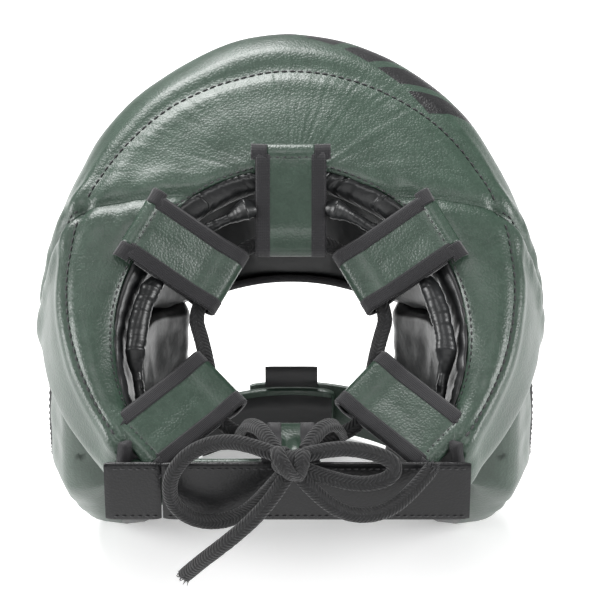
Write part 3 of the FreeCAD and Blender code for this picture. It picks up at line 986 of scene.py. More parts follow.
    def row_at(self, down: float, near: float = 2.0, far: float = 2.0) -> tuple[list[Vector],
                                                                             list[Vector]]:
        """The line on the leather at a distance below the seam, and the way it faces.

        Args:
            down: distance below the seam, in millimetres.
            near: degrees left out at the start.
            far: degrees left out at the end.
        """
        line, ways = [], []
        grid, normals = self.grids["leather"], self.facing["leather"]
        low, high = min(self.start, self.end) + near, max(self.start, self.end) - far
        for j, turn in enumerate(self.turns):
            if not low <= turn <= high:
                continue
            downs = self.downs[j]
            want = min(max(down, downs[0] + 0.5), downs[-1] - 0.5)
            k = next(k for k in range(len(downs) - 1) if downs[k + 1] >= want)
            share = (want - downs[k]) / (downs[k + 1] - downs[k])
            line.append(grid[k][j].lerp(grid[k + 1][j], share))
            ways.append(normals[k][j].lerp(normals[k + 1][j], share).normalized())
        return line, ways

    def sew(self, wardrobe: Wardrobe) -> None:
        """Adds the row beside the seam, the row along the rim and those at the ends.

        Args:
            wardrobe: the finishes.
        """
        thread = Piece(f"{self.name}_stitches")
        RIDGE_SEAM.sew(thread, *self.row_at(0.2))
        rim = [downs[0] for downs in self.downs]
        line, ways = [], []
        for j, downs in enumerate(self.downs):
            k = next(k for k in range(len(downs) - 1) if downs[k + 1] >= rim[j] + 3.4)
            share = (rim[j] + 3.4 - downs[k]) / (downs[k + 1] - downs[k])
            line.append(self.grids["leather"][k][j].lerp(self.grids["leather"][k + 1][j], share))
            ways.append(self.facing["leather"][k][j])
        SEAM.sew(thread, line, ways)
        for j in (3, len(self.turns) - 4):
            column = [row[j] for row in self.grids["leather"]]
            facing = [row[j] for row in self.facing["leather"]]
            SEAM.sew(thread, column[self.crown_rows + 1:self.crown_rows + 30],
                     facing[self.crown_rows + 1:self.crown_rows + 30])
        thread.build("headgear", "binding_tape", wardrobe.thread)


@dataclass
class CheekPad:
    """A cheek and ear pad: a rounded pillow with an ear opening bound in tape."""

    side: int
    shell: Shell
    front: float = 37.0
    back: float = 118.0
    mid_out: Ring = Ring(119, 112, 114, 64, 64)
    low_out: Ring = Ring(106, 101, 96, 16, 16)
    foot_out: Ring = Ring(100, 96, 88, 0, 0)
    foot_in: Ring = Ring(68, 78, 70, 0, 0)
    mid_in: Ring = Ring(75, 88, 98, 60, 60)
    foot_ends: float = 78.0
    back_z: float = 66.0
    rounding: float = 12.0
    rows: int = 56
    step: float = 1.1
    ear_y: float = 4.0
    ear_z: float = 82.0
    ear_half_y: float = 15.0
    ear_half_z: float = 22.0

    def name(self) -> str:
        """left or right."""
        return "left" if self.side > 0 else "right"

    def foot_height(self, degrees: float) -> float:
        """Height of the pad's lower edge."""
        return self.back_z * ease(degrees, self.foot_ends, 2 * self.back - self.foot_ends) * 2

    def wall(self, degrees: float, height: float, rings: Sequence[Ring], hem: Ring,
             top: float) -> float:
        """Distance out of one side of the pad at a height.

        Args:
            degrees: degrees from the front.
            height: height in millimetres.
            rings: the rings below the edge, from high to low.
            hem: the ring at the top edge.
            top: height of the top edge.

        Returns:
            The distance out in millimetres.
        """
        angle = math.radians(degrees)
        knots = [(hem.radius(angle), top)] + [r.point(angle) for r in rings]
        for high, low in zip(knots, knots[1:]):
            if height >= low[1] or low is knots[-1]:
                share = (height - high[1]) / (low[1] - high[1])
                share = min(1.0, max(0.0, share))
                eased = share * 0.6 + ease(share, 0, 1) * 0.4
                return high[0] + (low[0] - high[0]) * eased
        return knots[-1][0]

    def grids(self) -> tuple[Grid, Grid, list[float]]:
        """Outer and inner grid of the pillow, and the columns' angles.

        Returns:
            The two grids and the angles.
        """
        turns = panel_turns(self.front, self.back, self.step)
        turns = sorted(set(turns + [self.front + d for d in (2.2, 3.4)]
                           + [self.back - d for d in (2.2, 3.4)]))
        outer: Grid = [[] for _ in range(self.rows + 1)]
        inner: Grid = [[] for _ in range(self.rows + 1)]
        for degrees in turns:
            top, foot = self.shell.hem_height(degrees) - 0.6, self.foot_height(degrees)
            for i in range(self.rows + 1):
                t = i / self.rows
                t = t * 0.7 + 0.3 * (0.5 - 0.5 * math.cos(math.pi * t))
                height = top + (foot - top) * t
                out = self.wall(degrees, height, (self.mid_out, self.low_out, self.foot_out),
                                self.shell.hem_out, top)
                near = self.wall(degrees, height, (self.mid_in, self.foot_in),
                                 self.shell.hem_in, top)
                middle, half = (out + near) / 2, (out - near) / 2
                radius = (out + near) / 2 * math.radians(1)
                edge = 1.0
                for gap, round_off in ((radius * (degrees - self.front), self.rounding),
                                       (radius * (self.back - degrees), self.rounding),
                                       (top - height, 6.0), (height - foot, 9.0)):
                    share = min(1.0, max(0.0, gap / round_off))
                    edge *= math.sqrt(1 - (1 - share) ** 2)
                plump = 1.5 * math.sin(math.pi * t)
                outer[i].append(around((middle + half * edge + plump * edge, height), degrees))
                inner[i].append(around((middle - half * edge, height), degrees))
        return outer, inner, turns

    def in_ear(self, point: Vector) -> float:
        """Distance from the middle of the ear opening, as a share of its half sizes."""
        return math.hypot((point.y - self.ear_y) / self.ear_half_y,
                          (point.z - self.ear_z) / self.ear_half_z)

    def open_ear(self, grid: Grid) -> Callable[[int, int], bool]:
        """Moves the points round the ear opening onto its edge, and says which faces go.

        Args:
            grid: rows of points.

        Returns:
            The test that leaves out a face.
        """
        reach = 2.0
        far_off = 9.0
        inside = [[far_off if point.x < 30 else self.in_ear(point) for point in row]
                  for row in grid]
        cut = 0.62
        gone = set()
        for i in range(len(grid) - 1):
            for j in range(len(grid[0]) - 1):
                corners = [inside[a][b] for a in (i, i + 1) for b in (j, j + 1)]
                if min(corners) < cut:
                    gone.add((i, j))
        for i, row in enumerate(grid):
            for j, point in enumerate(row):
                share = inside[i][j]
                if share >= reach:
                    continue
                touching = [(a, b) in gone for a in (i - 1, i) for b in (j - 1, j)]
                if share < 1e-6:
                    continue
                wanted = 1.0 if any(touching) else \
                    1.0 + (reach - 1.0) * (share - cut) / (reach - cut)
                wanted = max(1.0, wanted)
                size = wanted / share
                across, up = point.y - self.ear_y, point.z - self.ear_z
                point.y, point.z = self.ear_y + across * size, self.ear_z + up * size
        return lambda i, j: (i, j) in gone

    def wrinkle(self, grid: Grid, depth: float, seed: float, away: float) -> Grid:
        """Softens a grid with creases, which run round the pad.

        Args:
            grid: rows of points.
            depth: depth of the creases in millimetres.
            seed: place in the noise.
            away: 1 for outwards, -1 for inwards.

        Returns:
            The creased grid.
        """
        normals = grid_normals(grid)
        last_i, last_j = len(grid) - 1, len(grid[0]) - 1
        moved = []
        for i, row in enumerate(grid):
            line = []
            for j, point in enumerate(row):
                border = min(i, last_i - i, j, last_j - j)
                hold = ease(border, 0, 4)
                creases = noise.noise(Vector((point.z * 0.09 + seed, point.y * 0.018, seed)))
                lift = depth * (ripple(point, 30, seed) + 0.6 * creases
                                + 0.3 * ripple(point, 11, seed + 3)) * hold
                if 0.9 < self.in_ear(point) < 1.8:
                    lift -= 2.0 * bell(self.in_ear(point) - 1.0, 0.16)
                line.append(point + normals[i][j] * lift * away)
            moved.append(line)
        return moved

    def mirror(self, grid: Grid) -> Grid:
        """The grid on this pad's side of the head."""
        return [[Vector((p.x * self.side, p.y, p.z)) for p in row] for row in grid]

    def build(self, wardrobe: Wardrobe) -> None:
        """Makes the leather, the lining, the ear's binding and the stitches.

        Args:
            wardrobe: the finishes.
        """
        outer, inner, turns = self.grids()
        skip_out, skip_in = self.open_ear(outer), self.open_ear(inner)
        outer = self.wrinkle(outer, 1.2, 4.0, 1.0)
        inner = self.wrinkle(inner, 1.3, 8.0, -1.0)
        turned = self.side < 0
        name = self.name()
        skin = Piece(f"{name}_cheek_leather")
        skin.sheet(self.mirror(outer), lambda i, j: (turns[j] * 1.8, i * 2.0, 0.0),
                   skip=skip_out, flip=turned)
        skin.build("headgear", "green_leather", wardrobe.green,
                   [f"{name}_cheek_skin", f"{name}_cheek_foam"], thickness=1.0, padded=0.9)
        lining = Piece(f"{name}_cheek_lining")
        lining.sheet(self.mirror(inner), lambda i, j: (turns[j] * 1.5, i * 2.0, 0.0),
                     skip=skip_in, flip=not turned)
        lining.build("headgear", "black_lining", wardrobe.lining, [f"{name}_cheek_lining"],
                     thickness=0.8)
        self.bind_ear(wardrobe, outer, inner)

    def surface_at(self, grid: Grid, angle: float, size: float) -> float:
        """How far out a grid lies beside the ear opening.

        Args:
            grid: rows of points.
            angle: radians round the opening.
            size: share of the opening's half sizes.

        Returns:
            The x place in millimetres.
        """
        y = self.ear_y + math.cos(angle) * self.ear_half_y * size
        z = self.ear_z + math.sin(angle) * self.ear_half_z * size
        best = min((point for row in grid for point in row if point.x > 30),
                   key=lambda p: (p.y - y) ** 2 + (p.z - z) ** 2)
        return best.x

    def levelled(self, heights: Sequence[float]) -> list[float]:
        """A closed row of heights, each averaged with its neighbours."""
        count = len(heights)
        return [sum(heights[(k + d) % count] for d in range(-4, 5)) / 9 for k in range(count)]

    def bind_ear(self, wardrobe: Wardrobe, outer: Grid, inner: Grid) -> None:
        """Tape rolled over the edge of the ear opening, right through the pad.

        Args:
            wardrobe: the finishes.
            outer: the grid of the leather.
            inner: the grid of the lining.
        """
        tape = Piece(f"{self.name()}_ear_tape")
        thread = Piece(f"{self.name()}_ear_stitches")
        profile = ((0, 1.28, -0.2), (0, 1.27, 0.9), (0, 1.13, 1.8), (0, 1.0, 1.5),
                   (0, 0.93, 0.0), (0.25, 0.9, 0.0), (0.5, 0.89, 0.0), (0.75, 0.9, 0.0),
                   (1, 0.93, 0.0), (1, 1.0, 1.5), (1, 1.13, 1.8), (1, 1.27, 0.9),
                   (1, 1.28, -0.2))
        count = 56
        rows: Grid = [[] for _ in profile]
        turns = [2 * math.pi * k / count for k in range(count)]
        edges = [self.levelled([self.surface_at(g, a, 1.05) for a in turns])
                 for g in (outer, inner)]
        for k, angle in enumerate(turns):
            far, near = edges[0][k], edges[1][k]
            for row, (share, size, proud) in zip(rows, profile):
                way = proud if share < 0.5 else -proud
                x = far + (near - far) * share + way
                wave = 1 + 0.012 * math.sin(angle * 9)
                row.append(Vector((x * self.side,
                                   self.ear_y + math.cos(angle) * self.ear_half_y * size * wave,
                                   self.ear_z + math.sin(angle) * self.ear_half_z * size * wave)))
        tape.sheet(rows, lambda i, j: (j * 2.1, i * 2.0, 0.0), wrap=True, flip=self.side > 0)
        tape.build("headgear", "binding_tape", wardrobe.tape,
                   [f"{self.name()}_ear_binding"], thickness=0.5)
        for which, i in ((0, 2), (1, 10)):
            way = Vector((self.side * (1 if which == 0 else -1), 0, 0))
            EAR_SEAM.sew(thread, rows[i] + rows[i][:1], [way] * (count + 1))
        thread.build("headgear", "binding_tape", wardrobe.thread)


@dataclass
class Sweep:
    """A soft cord or roll that follows a line."""

    name: str
    line: Sequence[Vector]
    half_width: float
    half_thick: float
    flat_towards: Optional[Callable[[Vector], Vector]] = None
    gather: float = 0.0
    groove: float = 0.0
    closed: bool = False
    around: int = 12

    def rings(self) -> list[list[Vector]]:
        """The cross-sections, one at each point of the line.

        Returns:
            The rings of points.
        """
        count, rings = len(self.line), []
        up = Vector((0, 0, 1))
        for k, point in enumerate(self.line):
            if self.closed:
                along = (self.line[(k + 1) % count] - self.line[k - 1]).normalized()
            else:
                along = (self.line[min(k + 1, count - 1)] - self.line[max(k - 1, 0)]).normalized()
            wanted = self.flat_towards(point) if self.flat_towards else up
            up = (wanted - along * wanted.dot(along))
            up = up.normalized() if up.length > 1e-3 else Vector((0, 1, 0))
            side = along.cross(up)
            ring = []
            for s in range(self.around):
                a = 2 * math.pi * s / self.around
                size = 1 + self.gather * noise.noise(Vector((k * 0.9, a * 1.2, 4.0)))
                dip = self.groove * bell(math.cos(a), 0.3)
                power = 0.75
                across = math.copysign(abs(math.cos(a)) ** power, math.cos(a))
                high = math.copysign(abs(math.sin(a)) ** power, math.sin(a))
                ring.append(point + side * (across * self.half_width * size)
                            + up * (high * (self.half_thick - dip) * size))
            rings.append(ring)
        return rings

    def build(self, body: str, slot: str, material: bpy.types.Material,
              nodes: Sequence[str] = ()) -> bpy.types.Object:
        """Makes the object, with its ends closed.

        Args:
            body: the CAD body it moves with.
            slot: not used.
            material: its finish.
            nodes: the CAD nodes it stands for.

        Returns:
            The object.
        """
        piece = Piece(self.name)
        rings = self.rings()
        if self.closed:
            rings = rings + rings[:1]
        reach = [0.0]
        for here, there in zip(rings, rings[1:]):
            reach.append(reach[-1] + (there[0] - here[0]).length)
        cosines = [math.cos(2 * math.pi * s / self.around) for s in range(self.around)]
        piece.sheet(rings, lambda i, j: (reach[i], cosines[j] * self.half_width, 0.0), wrap=True)
        if not self.closed:
            piece.cap(rings[0], flip=True)
            piece.cap(rings[-1])
        return piece.build(body, slot, material, nodes)


# ------------------------------------------------------------------ the lace and its tabs
class Tilt:
    """The tilted plane of the crown opening, and places in it."""

    def __init__(self, shell: Shell) -> None:
        """Works the plane out from the rim.

        Args:
            shell: sizes of the head shell.
        """
        self.rim = shell.rim
        self.edge = shell.rim_edge
        self.lean = shell.rim_lean
        climb = (self.rim.front_z - self.rim.back_z) / (self.rim.front + self.rim.back)
        self.angle = math.atan(climb)
        self.uphill = Vector((0, -math.cos(self.angle), math.sin(self.angle)))
        self.across = Vector((1, 0, 0))
        self.normal = Vector((0, math.sin(self.angle), math.cos(self.angle)))
        middle = (self.rim.front - self.rim.back) / 2
        half = (self.rim.front + self.rim.back) / 2
        self.middle = Vector((0, -middle, self.rim.front_z - climb * half))
        self.half_long = half / math.cos(self.angle)
        self.ring_middle = Vector((0, 39.3, 149.1))

    def on_rim(self, degrees: float) -> Vector:
        """A point of the rim, at degrees from the front in its own plane.

        Args:
            degrees: degrees from the front.
        """
        angle = math.radians(degrees)
        return self.middle + self.uphill * (self.half_long * math.cos(angle)) \
            + self.across * (self.rim.half_width * math.sin(angle))

    def in_ring(self, across: float, ahead: float) -> Vector:
        """A point in the lace's plane."""
        return self.ring_middle + self.across * across + self.uphill * ahead


@dataclass
class CrownRoll:
    """The rolled lining inside the rim, gathered in fine tucks."""

    tilt: Tilt
    tabs: Sequence["Tab"]
    radius: float = 4.7
    lean: float = 25.0
    ends: float = 123.0
    count: int = 620

    def build(self, wardrobe: Wardrobe) -> None:
        """Makes the roll in one gathered length.

        Args:
            wardrobe: the finishes.
        """
        tilt, line, inwards = self.tilt, [], []
        for k in range(self.count + 1):
            degrees = self.ends * (2 * k / self.count - 1)
            angle = math.radians(degrees)
            ahead = math.cos(angle)
            inward = tilt.uphill * -ahead - tilt.across * math.sin(angle)
            lean = math.radians(self.lean) * (1 - max(ahead, 0))
            reach = self.radius + 0.3
            depth = tilt.edge * math.sin(tilt.angle) * ahead - tilt.lean + reach * math.cos(lean)
            drop = reach * math.sin(lean) - tilt.edge * math.cos(tilt.angle) \
                - tilt.lean * math.sin(tilt.angle) * ahead
            line.append(tilt.on_rim(degrees) + inward * depth + tilt.normal * drop)
            inwards.append(inward)
        grid: Grid = []
        sides = 18
        covered = [float(any(tab.covers(p) for tab in self.tabs)) for p in line]
        for k, point in enumerate(line):
            row = []
            near = covered[max(0, k - 9):k + 10]
            under = sum(near) / len(near)
            point = point - tilt.normal * (4.6 * under)
            for s in range(sides):
                a = 2 * math.pi * s / sides
                swell = (1 - 0.5 * under) + 0.08 + 0.16 * noise.noise(Vector((k * 0.035, math.cos(a), 5.0))) \
                    + 0.13 * noise.noise(Vector((k * 0.13, math.cos(a) * 0.5, 9.0))) \
                    + 0.06 * noise.noise(Vector((k * 0.28, math.sin(a) * 0.4, 2.0)))
                way = inwards[k] * math.cos(a) + tilt.normal * math.sin(a)
                row.append(point + way * (self.radius * 0.97 * swell))
            grid.append(row)
        piece = Piece("crown_roll")
        piece.sheet(grid, lambda i, j: (i * 0.9, j * 1.8, 0.0), wrap=True)
        piece.cap(grid[0], flip=True)
        piece.cap(grid[-1])
        piece.build("headgear", "black_lining", wardrobe.lining, ["crown_binding"])


@dataclass
class Tab:
    """A leather ribbon sewn to the rim and folded round the lace, with taped edges."""

    name: str
    root: Vector
    tip: Vector
    tilt: Tilt
    width: float = 33.0
    lace: float = 3.9
    wall: float = 1.6
    foot: float = 7.0
    tape: float = 6.5
    pleats: int = 0

    def profile(self, lift: float) -> list[tuple[float, float]]:
        """The ribbon seen from its side: over the lace and back under it.

        Args:
            lift: how far outside the leather the line runs, in millimetres.
        """
        reach = (self.tip - self.root).length
        round_off = self.lace + self.wall + lift
        top, low = 1.9 + lift, -1.9 - lift
        line = [(-self.foot, 0.3 + lift), (-self.foot * 0.4, 1.5 + lift)]
        flat_to = reach - 9.5
        for k in range(9):
            line.append((0.5 + (flat_to - 0.5) * k / 8, top))
        line.append((reach - 6.0, top + 1.2))
        for k in range(13):
            a = math.radians(78 - 156 * k / 12)
            line.append((reach + round_off * math.cos(a), round_off * math.sin(a)))
        line.append((reach - 6.0, low - 1.2))
        for k in range(6):
            line.append((flat_to - (flat_to - 1.0) * k / 5, low))
        return line

    def place(self, along: float, across: float, up: float) -> Vector:
        """A point of the tab, from its root towards the lace, across and up.

        Args:
            along: distance from the root towards the lace.
            across: distance from the middle line.
            up: height over the line from root to tip.

        Returns:
            The point.
        """
        ahead = (self.tip - self.root).normalized()
        side = ahead.cross(self.tilt.normal).normalized()
        return self.root + ahead * along + side * across + side.cross(ahead) * up

    def covers(self, point: Vector) -> bool:
        """Whether the tab lies over a point of the rim.

        Args:
            point: a point beside the rim.

        Returns:
            Whether it is covered.
        """
        ahead = (self.tip - self.root).normalized()
        side = ahead.cross(self.tilt.normal).normalized()
        away = point - self.root
        return abs(away.dot(side)) < self.width / 2 + 0.8 and away.dot(ahead) > -9

    def strip(self, piece: Piece, near: float, far: float, lift: float, folds: int,
              columns: int, flip: bool) -> Grid:
        """Adds a lengthwise strip of the ribbon between two distances from its middle.

        Args:
            piece: the piece that gets the faces.
            near: where it starts, from the middle.
            far: where it ends, from the middle.
            lift: height over the leather.
            folds: number of pleats.
            columns: number of faces across.
            flip: whether the faces look the other way.

        Returns:
            The rows of points.
        """
        line = self.profile(lift)
        reach = [0.0]
        for here, there in zip(line, line[1:]):
            reach.append(reach[-1] + math.dist(here, there))
        grid = []
        for i, (along, up) in enumerate(line):
            row = []
            for j in range(columns + 1):
                across = near + (far - near) * j / columns
                edge = 1 - abs(across) / (self.width / 2)
                soft = 0.5 * bell(edge, 0.05) - 0.4 * math.sin(math.pi * min(1, max(0, edge)))
                wave = 0.35 * noise.noise(Vector((along * 0.09, across * 0.12, self.root.x)))
                pleat = 0.0
                if folds:
                    pleat = 1.0 * math.sin(across * math.pi * folds / self.width)
                way = 1 if i < len(line) / 2 else -1
                hold = 1 - ease(along, (self.tip - self.root).length - 14,
                                (self.tip - self.root).length - 8)
                up_here = up + way * hold * (wave - soft * 0.8 + pleat)
                row.append(self.place(along, across, up_here))
            grid.append(row)
        piece.sheet(grid, lambda i, j: (reach[i], (near + (far - near) * j / columns), 0.0),
                    flip=flip)
        return grid

    def build(self, wardrobe: Wardrobe) -> None:
        """Makes the leather ribbon, its two tapes and their stitches.

        Args:
            wardrobe: the finishes.
        """
        half = self.width / 2
        ribbon = Piece(f"tab_{self.name}_leather")
        self.strip(ribbon, -half + 0.8, half - 0.8, 0.0, self.pleats, 22, False)
        ribbon.build("headgear", "green_leather", wardrobe.green, [f"tab_{self.name}"],
                     thickness=1.3)
        tape = Piece(f"tab_{self.name}_tapes")
        thread = Piece(f"tab_{self.name}_stitches")
        for way in (-1, 1):
            grid = self.strip(tape, way * (half - self.tape), way * half, 0.95, self.pleats, 6,
                              way < 0)
            rim = [row[-1] for row in grid]
            under = [p + self.place(0, -way * 1.0, 0) - self.place(0, 0, 0) for p in rim]
            middle = [self.place(a, way * half, u) for a, u in self.profile(-1.2)]
            tape.sheet([rim, middle, under], lambda i, j: (j * 2.0, i * 1.0, 0.0),
                       flip=way > 0)
            for column in (1, 5):
                row = [line[column] for line in grid]
                facing = [self.facing(line[column]) for line in grid]
                SEAM.sew(thread, row[1:-1], facing[1:-1])
        tape.build("headgear", "binding_tape", wardrobe.tape, [f"tape_{self.name}"],
                   thickness=0.6)
        thread.build("headgear", "binding_tape", wardrobe.thread)
        self.root_strip(wardrobe)

    def facing(self, point: Vector) -> Vector:
        """The way the ribbon faces at a point of it.

        Args:
            point: a point in millimetres about the head's axis.

        Returns:
            The direction.
        """
        ahead = (self.tip - self.root).normalized()
        up = ahead.cross(self.tilt.normal).normalized().cross(ahead)
        along = (point - self.root).dot(ahead)
        reach = (self.tip - self.root).length
        if along > reach - 1:
            away = point - self.tip
            return (ahead * away.dot(ahead) + up * away.dot(up)).normalized()
        return up if (point - self.root).dot(up) > 0 else -up

    def root_strip(self, wardrobe: Wardrobe) -> None:
        """A stitched tape across the foot, where the ribbon is sewn to the rim.

        Args:
            wardrobe: the finishes.
        """
        half = self.width / 2 + 2.5
        middle = self.width / 2 - self.tape + 1.0
        grid = []
        for along, up in ((-self.foot - 2.4, -1.6), (-self.foot - 2.2, 0.6),
                          (-self.foot, 1.9), (-self.foot + 2.6, 2.4), (-self.foot + 3.4, 1.2)):
            grid.append([self.place(along, half * (2 * j / 40 - 1),
                                    up - 1.8 * abs(2 * j / 40 - 1) ** 3) for j in range(41)])
        first = round(20 - 20 * middle / half)
        for part, near, far, finish, slot in (
                ("fold", first, 40 - first, wardrobe.green, "green_leather"),
                ("tape_near", 0, first, wardrobe.tape, "binding_tape"),
                ("tape_far", 40 - first, 40, wardrobe.tape, "binding_tape")):
            proud = 0.0 if part == "fold" else 0.35
            strip = Piece(f"tab_{self.name}_foot_{part}")
            up = self.place(0, 0, proud) - self.root
            rows = [[p + up for p in row[near:far + 1]] for row in grid]
            strip.sheet(rows, lambda i, j: (j * 1.0, i * 2.2, 0.0))
            strip.build("headgear", slot, finish, thickness=0.8)
        thread = Piece(f"tab_{self.name}_foot_stitches")
        up = self.place(0, 0, 1) - self.place(0, 0, 0)
        SEAM.sew(thread, [p + up * 0.3 for p in grid[3]], [up] * len(grid[3]))
        thread.build("headgear", "binding_tape", wardrobe.thread)


class Lay(Enum):
    """How a length of lace lies."""

    LOOSE = "loose"
    TAUT = "taut"


@dataclass
class Lace:
    """One length of flat braided lace, on its route's points."""

    name: str
    route: Sequence[tuple[float, float, float]]
    faces: Vector
    far_end: str = "object"
    lay: Lay = Lay.LOOSE
    half_width: float = 3.6
    half_thick: float = 2.35
    frayed: bool = False

    def line(self) -> list[Vector]:
        """The smooth line that the route's points draw, in frame metres.

        Returns:
            The points in metres.
        """
        curve = bpy.data.curves.new(f"{self.name}_route", "CURVE")
        curve.dimensions = "3D"
        curve.resolution_u = 16
        spline = curve.splines.new("NURBS")
        spline.points.add(len(self.route) - 1)
        for knot, point in zip(spline.points, self.route):
            knot.co = (*to_frame(Vector(point)), 1.0)
        spline.order_u = 3
        spline.use_endpoint_u = True
        guide = bpy.data.objects.new(f"{self.name}_route", curve)
        bpy.context.collection.objects.link(guide)
        bpy.context.view_layer.update()
        mesh = bpy.data.meshes.new_from_object(guide)
        points = [v.co.copy() for v in mesh.vertices]
        bpy.data.objects.remove(guide)
        bpy.data.curves.remove(curve)
        bpy.data.meshes.remove(mesh)
        return points

    def build(self, wardrobe: Wardrobe, carried: Sequence[bpy.types.Object] = ()) -> None:
        """Args:
            wardrobe: the finishes.
            carried: not used.
        """
        path = self.line()
        own = [Vector((p.x / MM, p.y / MM - HEAD_Y, p.z / MM)) for p in path]
        length = sum((b - a).length for a, b in zip(own, own[1:]))
        fine = spaced(own, max(12, int(length / 1.2)))
        faces = self.faces

        def outwards(point: Vector) -> Vector:
            """The wide side's direction."""
            return faces

        braid = Sweep(self.name, fine, self.half_width, self.half_thick, outwards,
                      gather=0.05, groove=0.75, around=20)
        thing = braid.build("headgear", "lace", wardrobe.lace, [self.name.replace("_braid", "")])
        tuple(path[0])
        length * MM
        2 * self.half_width * MM
        [tuple(p) for p in path]
        list(carried)
        if self.frayed:
            self.fray(fine, wardrobe)

    def fray(self, fine: Sequence[Vector], wardrobe: Wardrobe) -> None:
        """Loose strands at the cut end.

        Args:
            fine: the points along the braid.
            wardrobe: the finishes.
        """
        end, along = fine[-1], (fine[-1] - fine[-4]).normalized()
        strands = Piece(f"{self.name}_strands")
        side = along.cross(self.faces).normalized()
        up = side.cross(along)
        for k in range(34):
            a, out = k * 2.399, math.sqrt((k + 0.5) / 34)
            base = end - along * 2 + side * (math.cos(a) * out * self.half_width * 0.85) \
                + up * (math.sin(a) * out * self.half_thick * 0.7)
            swing = (side * math.cos(a * 1.7) + up * math.sin(a * 2.3)) * 1.4
            reach = 5.0 + 3.0 * noise.noise(Vector((k * 1.7, 0.3, 0.1)))
            rings = []
            for t in (0.0, 0.35, 0.7, 1.0):
                middle = base + along * (reach * t) + swing * (t * t)
                size = 0.42 * (1 - 0.6 * t)
                rings.append([middle + side * (math.cos(b) * size) + up * (math.sin(b) * size)
                              for b in (2 * math.pi * s / 5 for s in range(5))])
            strands.sheet(rings, lambda i, j: (i * 2.0, j * 0.4, 0.0), wrap=True)
        strands.build("headgear", "lace", wardrobe.thread)


@dataclass
class Bow:
    """The lace ring, the knot on the nape, and the bow's loops and tails."""

    tilt: Tilt
    knot: tuple[float, float, float] = (0, 115, 124)
    ring_corners: tuple[tuple[float, float], ...] = (
        (8.0, -52.6), (31.6, -52.0), (37.4, -29.0), (41.8, -6.5), (46.9, 9.1), (34.4, 26.2),
        (20.7, 44.0))

    def ring_route(self) -> list[tuple[float, float, float]]:
        """The ring's points: from the rear tab round the front and back to it.

        Returns:
            The points in millimetres.
        """
        left = list(self.ring_corners)
        right = [(-a, u) for a, u in reversed(left)]
        return [tuple(self.tilt.in_ring(a, u)) for a, u in left + [(0.0, 44.5)] + right]

    def laces(self) -> list[Lace]:
        """Every length of lace.

        Returns:
            The lengths of lace.
        """
        back = Vector((0.0, 1.0, 0.35))
        lead = [(7, 110, 128), (12, 101, 132), (18, 91, 130), (23, 83, 123), (24, 78, 115)]
        return [
            Lace("lace_ring_braid", self.ring_route(), self.tilt.normal, lay=Lay.TAUT),
            Lace("lace_lead_left_braid", lead, Vector((0.3, 0.3, 1.0))),
            Lace("lace_lead_right_braid", [(-x, y, z) for x, y, z in lead],
                 Vector((-0.3, 0.3, 1.0))),
            Lace("lace_bow_left_braid",
                 [(6, 114, 128), (20, 110, 132), (35, 107, 131), (48, 110, 126),
                  (56, 114, 116), (56, 115, 103), (48, 116, 94), (35, 116, 91),
                  (22, 116, 96), (12, 116, 107), (4, 116, 118)], back),
            Lace("lace_bow_right_braid",
                 [(-6, 114, 128), (-20, 112, 131), (-36, 112, 129), (-48, 113, 124),
                  (-48, 114, 116), (-36, 115, 112), (-21, 116, 115), (-6, 115, 121)], back),
            Lace("lace_tail_left_braid",
                 [(2, 117, 118), (9, 123, 109), (19, 126, 98), (31, 126, 86), (42, 123, 74),
                  (50, 119, 63)], back, far_end="bare", frayed=True),
            Lace("lace_tail_right_braid",
                 [(-4, 116, 118), (-14, 121, 108), (-27, 124, 101), (-42, 123, 101),
                  (-55, 118, 108), (-65, 112, 119)], back, far_end="bare", frayed=True),
        ]

    def build_laces(self, wardrobe: Wardrobe) -> None:
        """Makes the knot, then the lengths of lace.

        Args:
            wardrobe: the finishes.
        """
        knot = self.build_knot(wardrobe)
        for lace in self.laces():
            lace.build(wardrobe, knot if lace.name == "lace_bow_left_braid" else ())

    def build_knot(self, wardrobe: Wardrobe) -> list[bpy.types.Object]:
        """The knot: two crossing wraps of lace round a core.

        Args:
            wardrobe: the finishes.

        Returns:
            The pieces of the knot.
        """
        middle = Vector(self.knot)
        core = Piece("knot_core")
        rows = []
        for i in range(13):
            a = math.pi * i / 12
            rows.append([middle + Vector((9.0 * math.cos(a),
                                          5.8 * math.sin(a) * math.cos(b),
                                          6.4 * math.sin(a) * math.sin(b)))
                         for b in (2 * math.pi * s / 20 for s in range(20))])
        core.sheet(rows, lambda i, j: (i * 2.5, j * 1.2 - 10, 0.0), wrap=True)
        tied = [core.build("headgear", "lace", wardrobe.lace)]
        wraps = (("knot_wrap_upper", 0.42, 5.6, 6.6, 1.4),
                 ("knot_wrap_lower", -0.12, 4.6, 5.6, -4.4))
        for k, (name, slant, deep, high, shift) in enumerate(wraps):
            line = []
            for s in range(48):
                a = 2 * math.pi * s / 48
                line.append(middle + Vector((shift + slant * 11 * math.sin(a),
                                             (deep + 0.4) * math.cos(a),
                                             (high + 0.4) * math.sin(a))))

            def away(point: Vector) -> Vector:
                """Out from the knot's middle."""
                out = point - middle
                return Vector((0.0, out.y, out.z))

            wrap = Sweep(name, line, 3.5, 1.7, away, gather=0.05, groove=0.4, closed=True,
                         around=18)
            tied.append(wrap.build("headgear", "lace", wardrobe.lace,
                                   ["lace_knot"] if k == 0 else ()))
        return tied


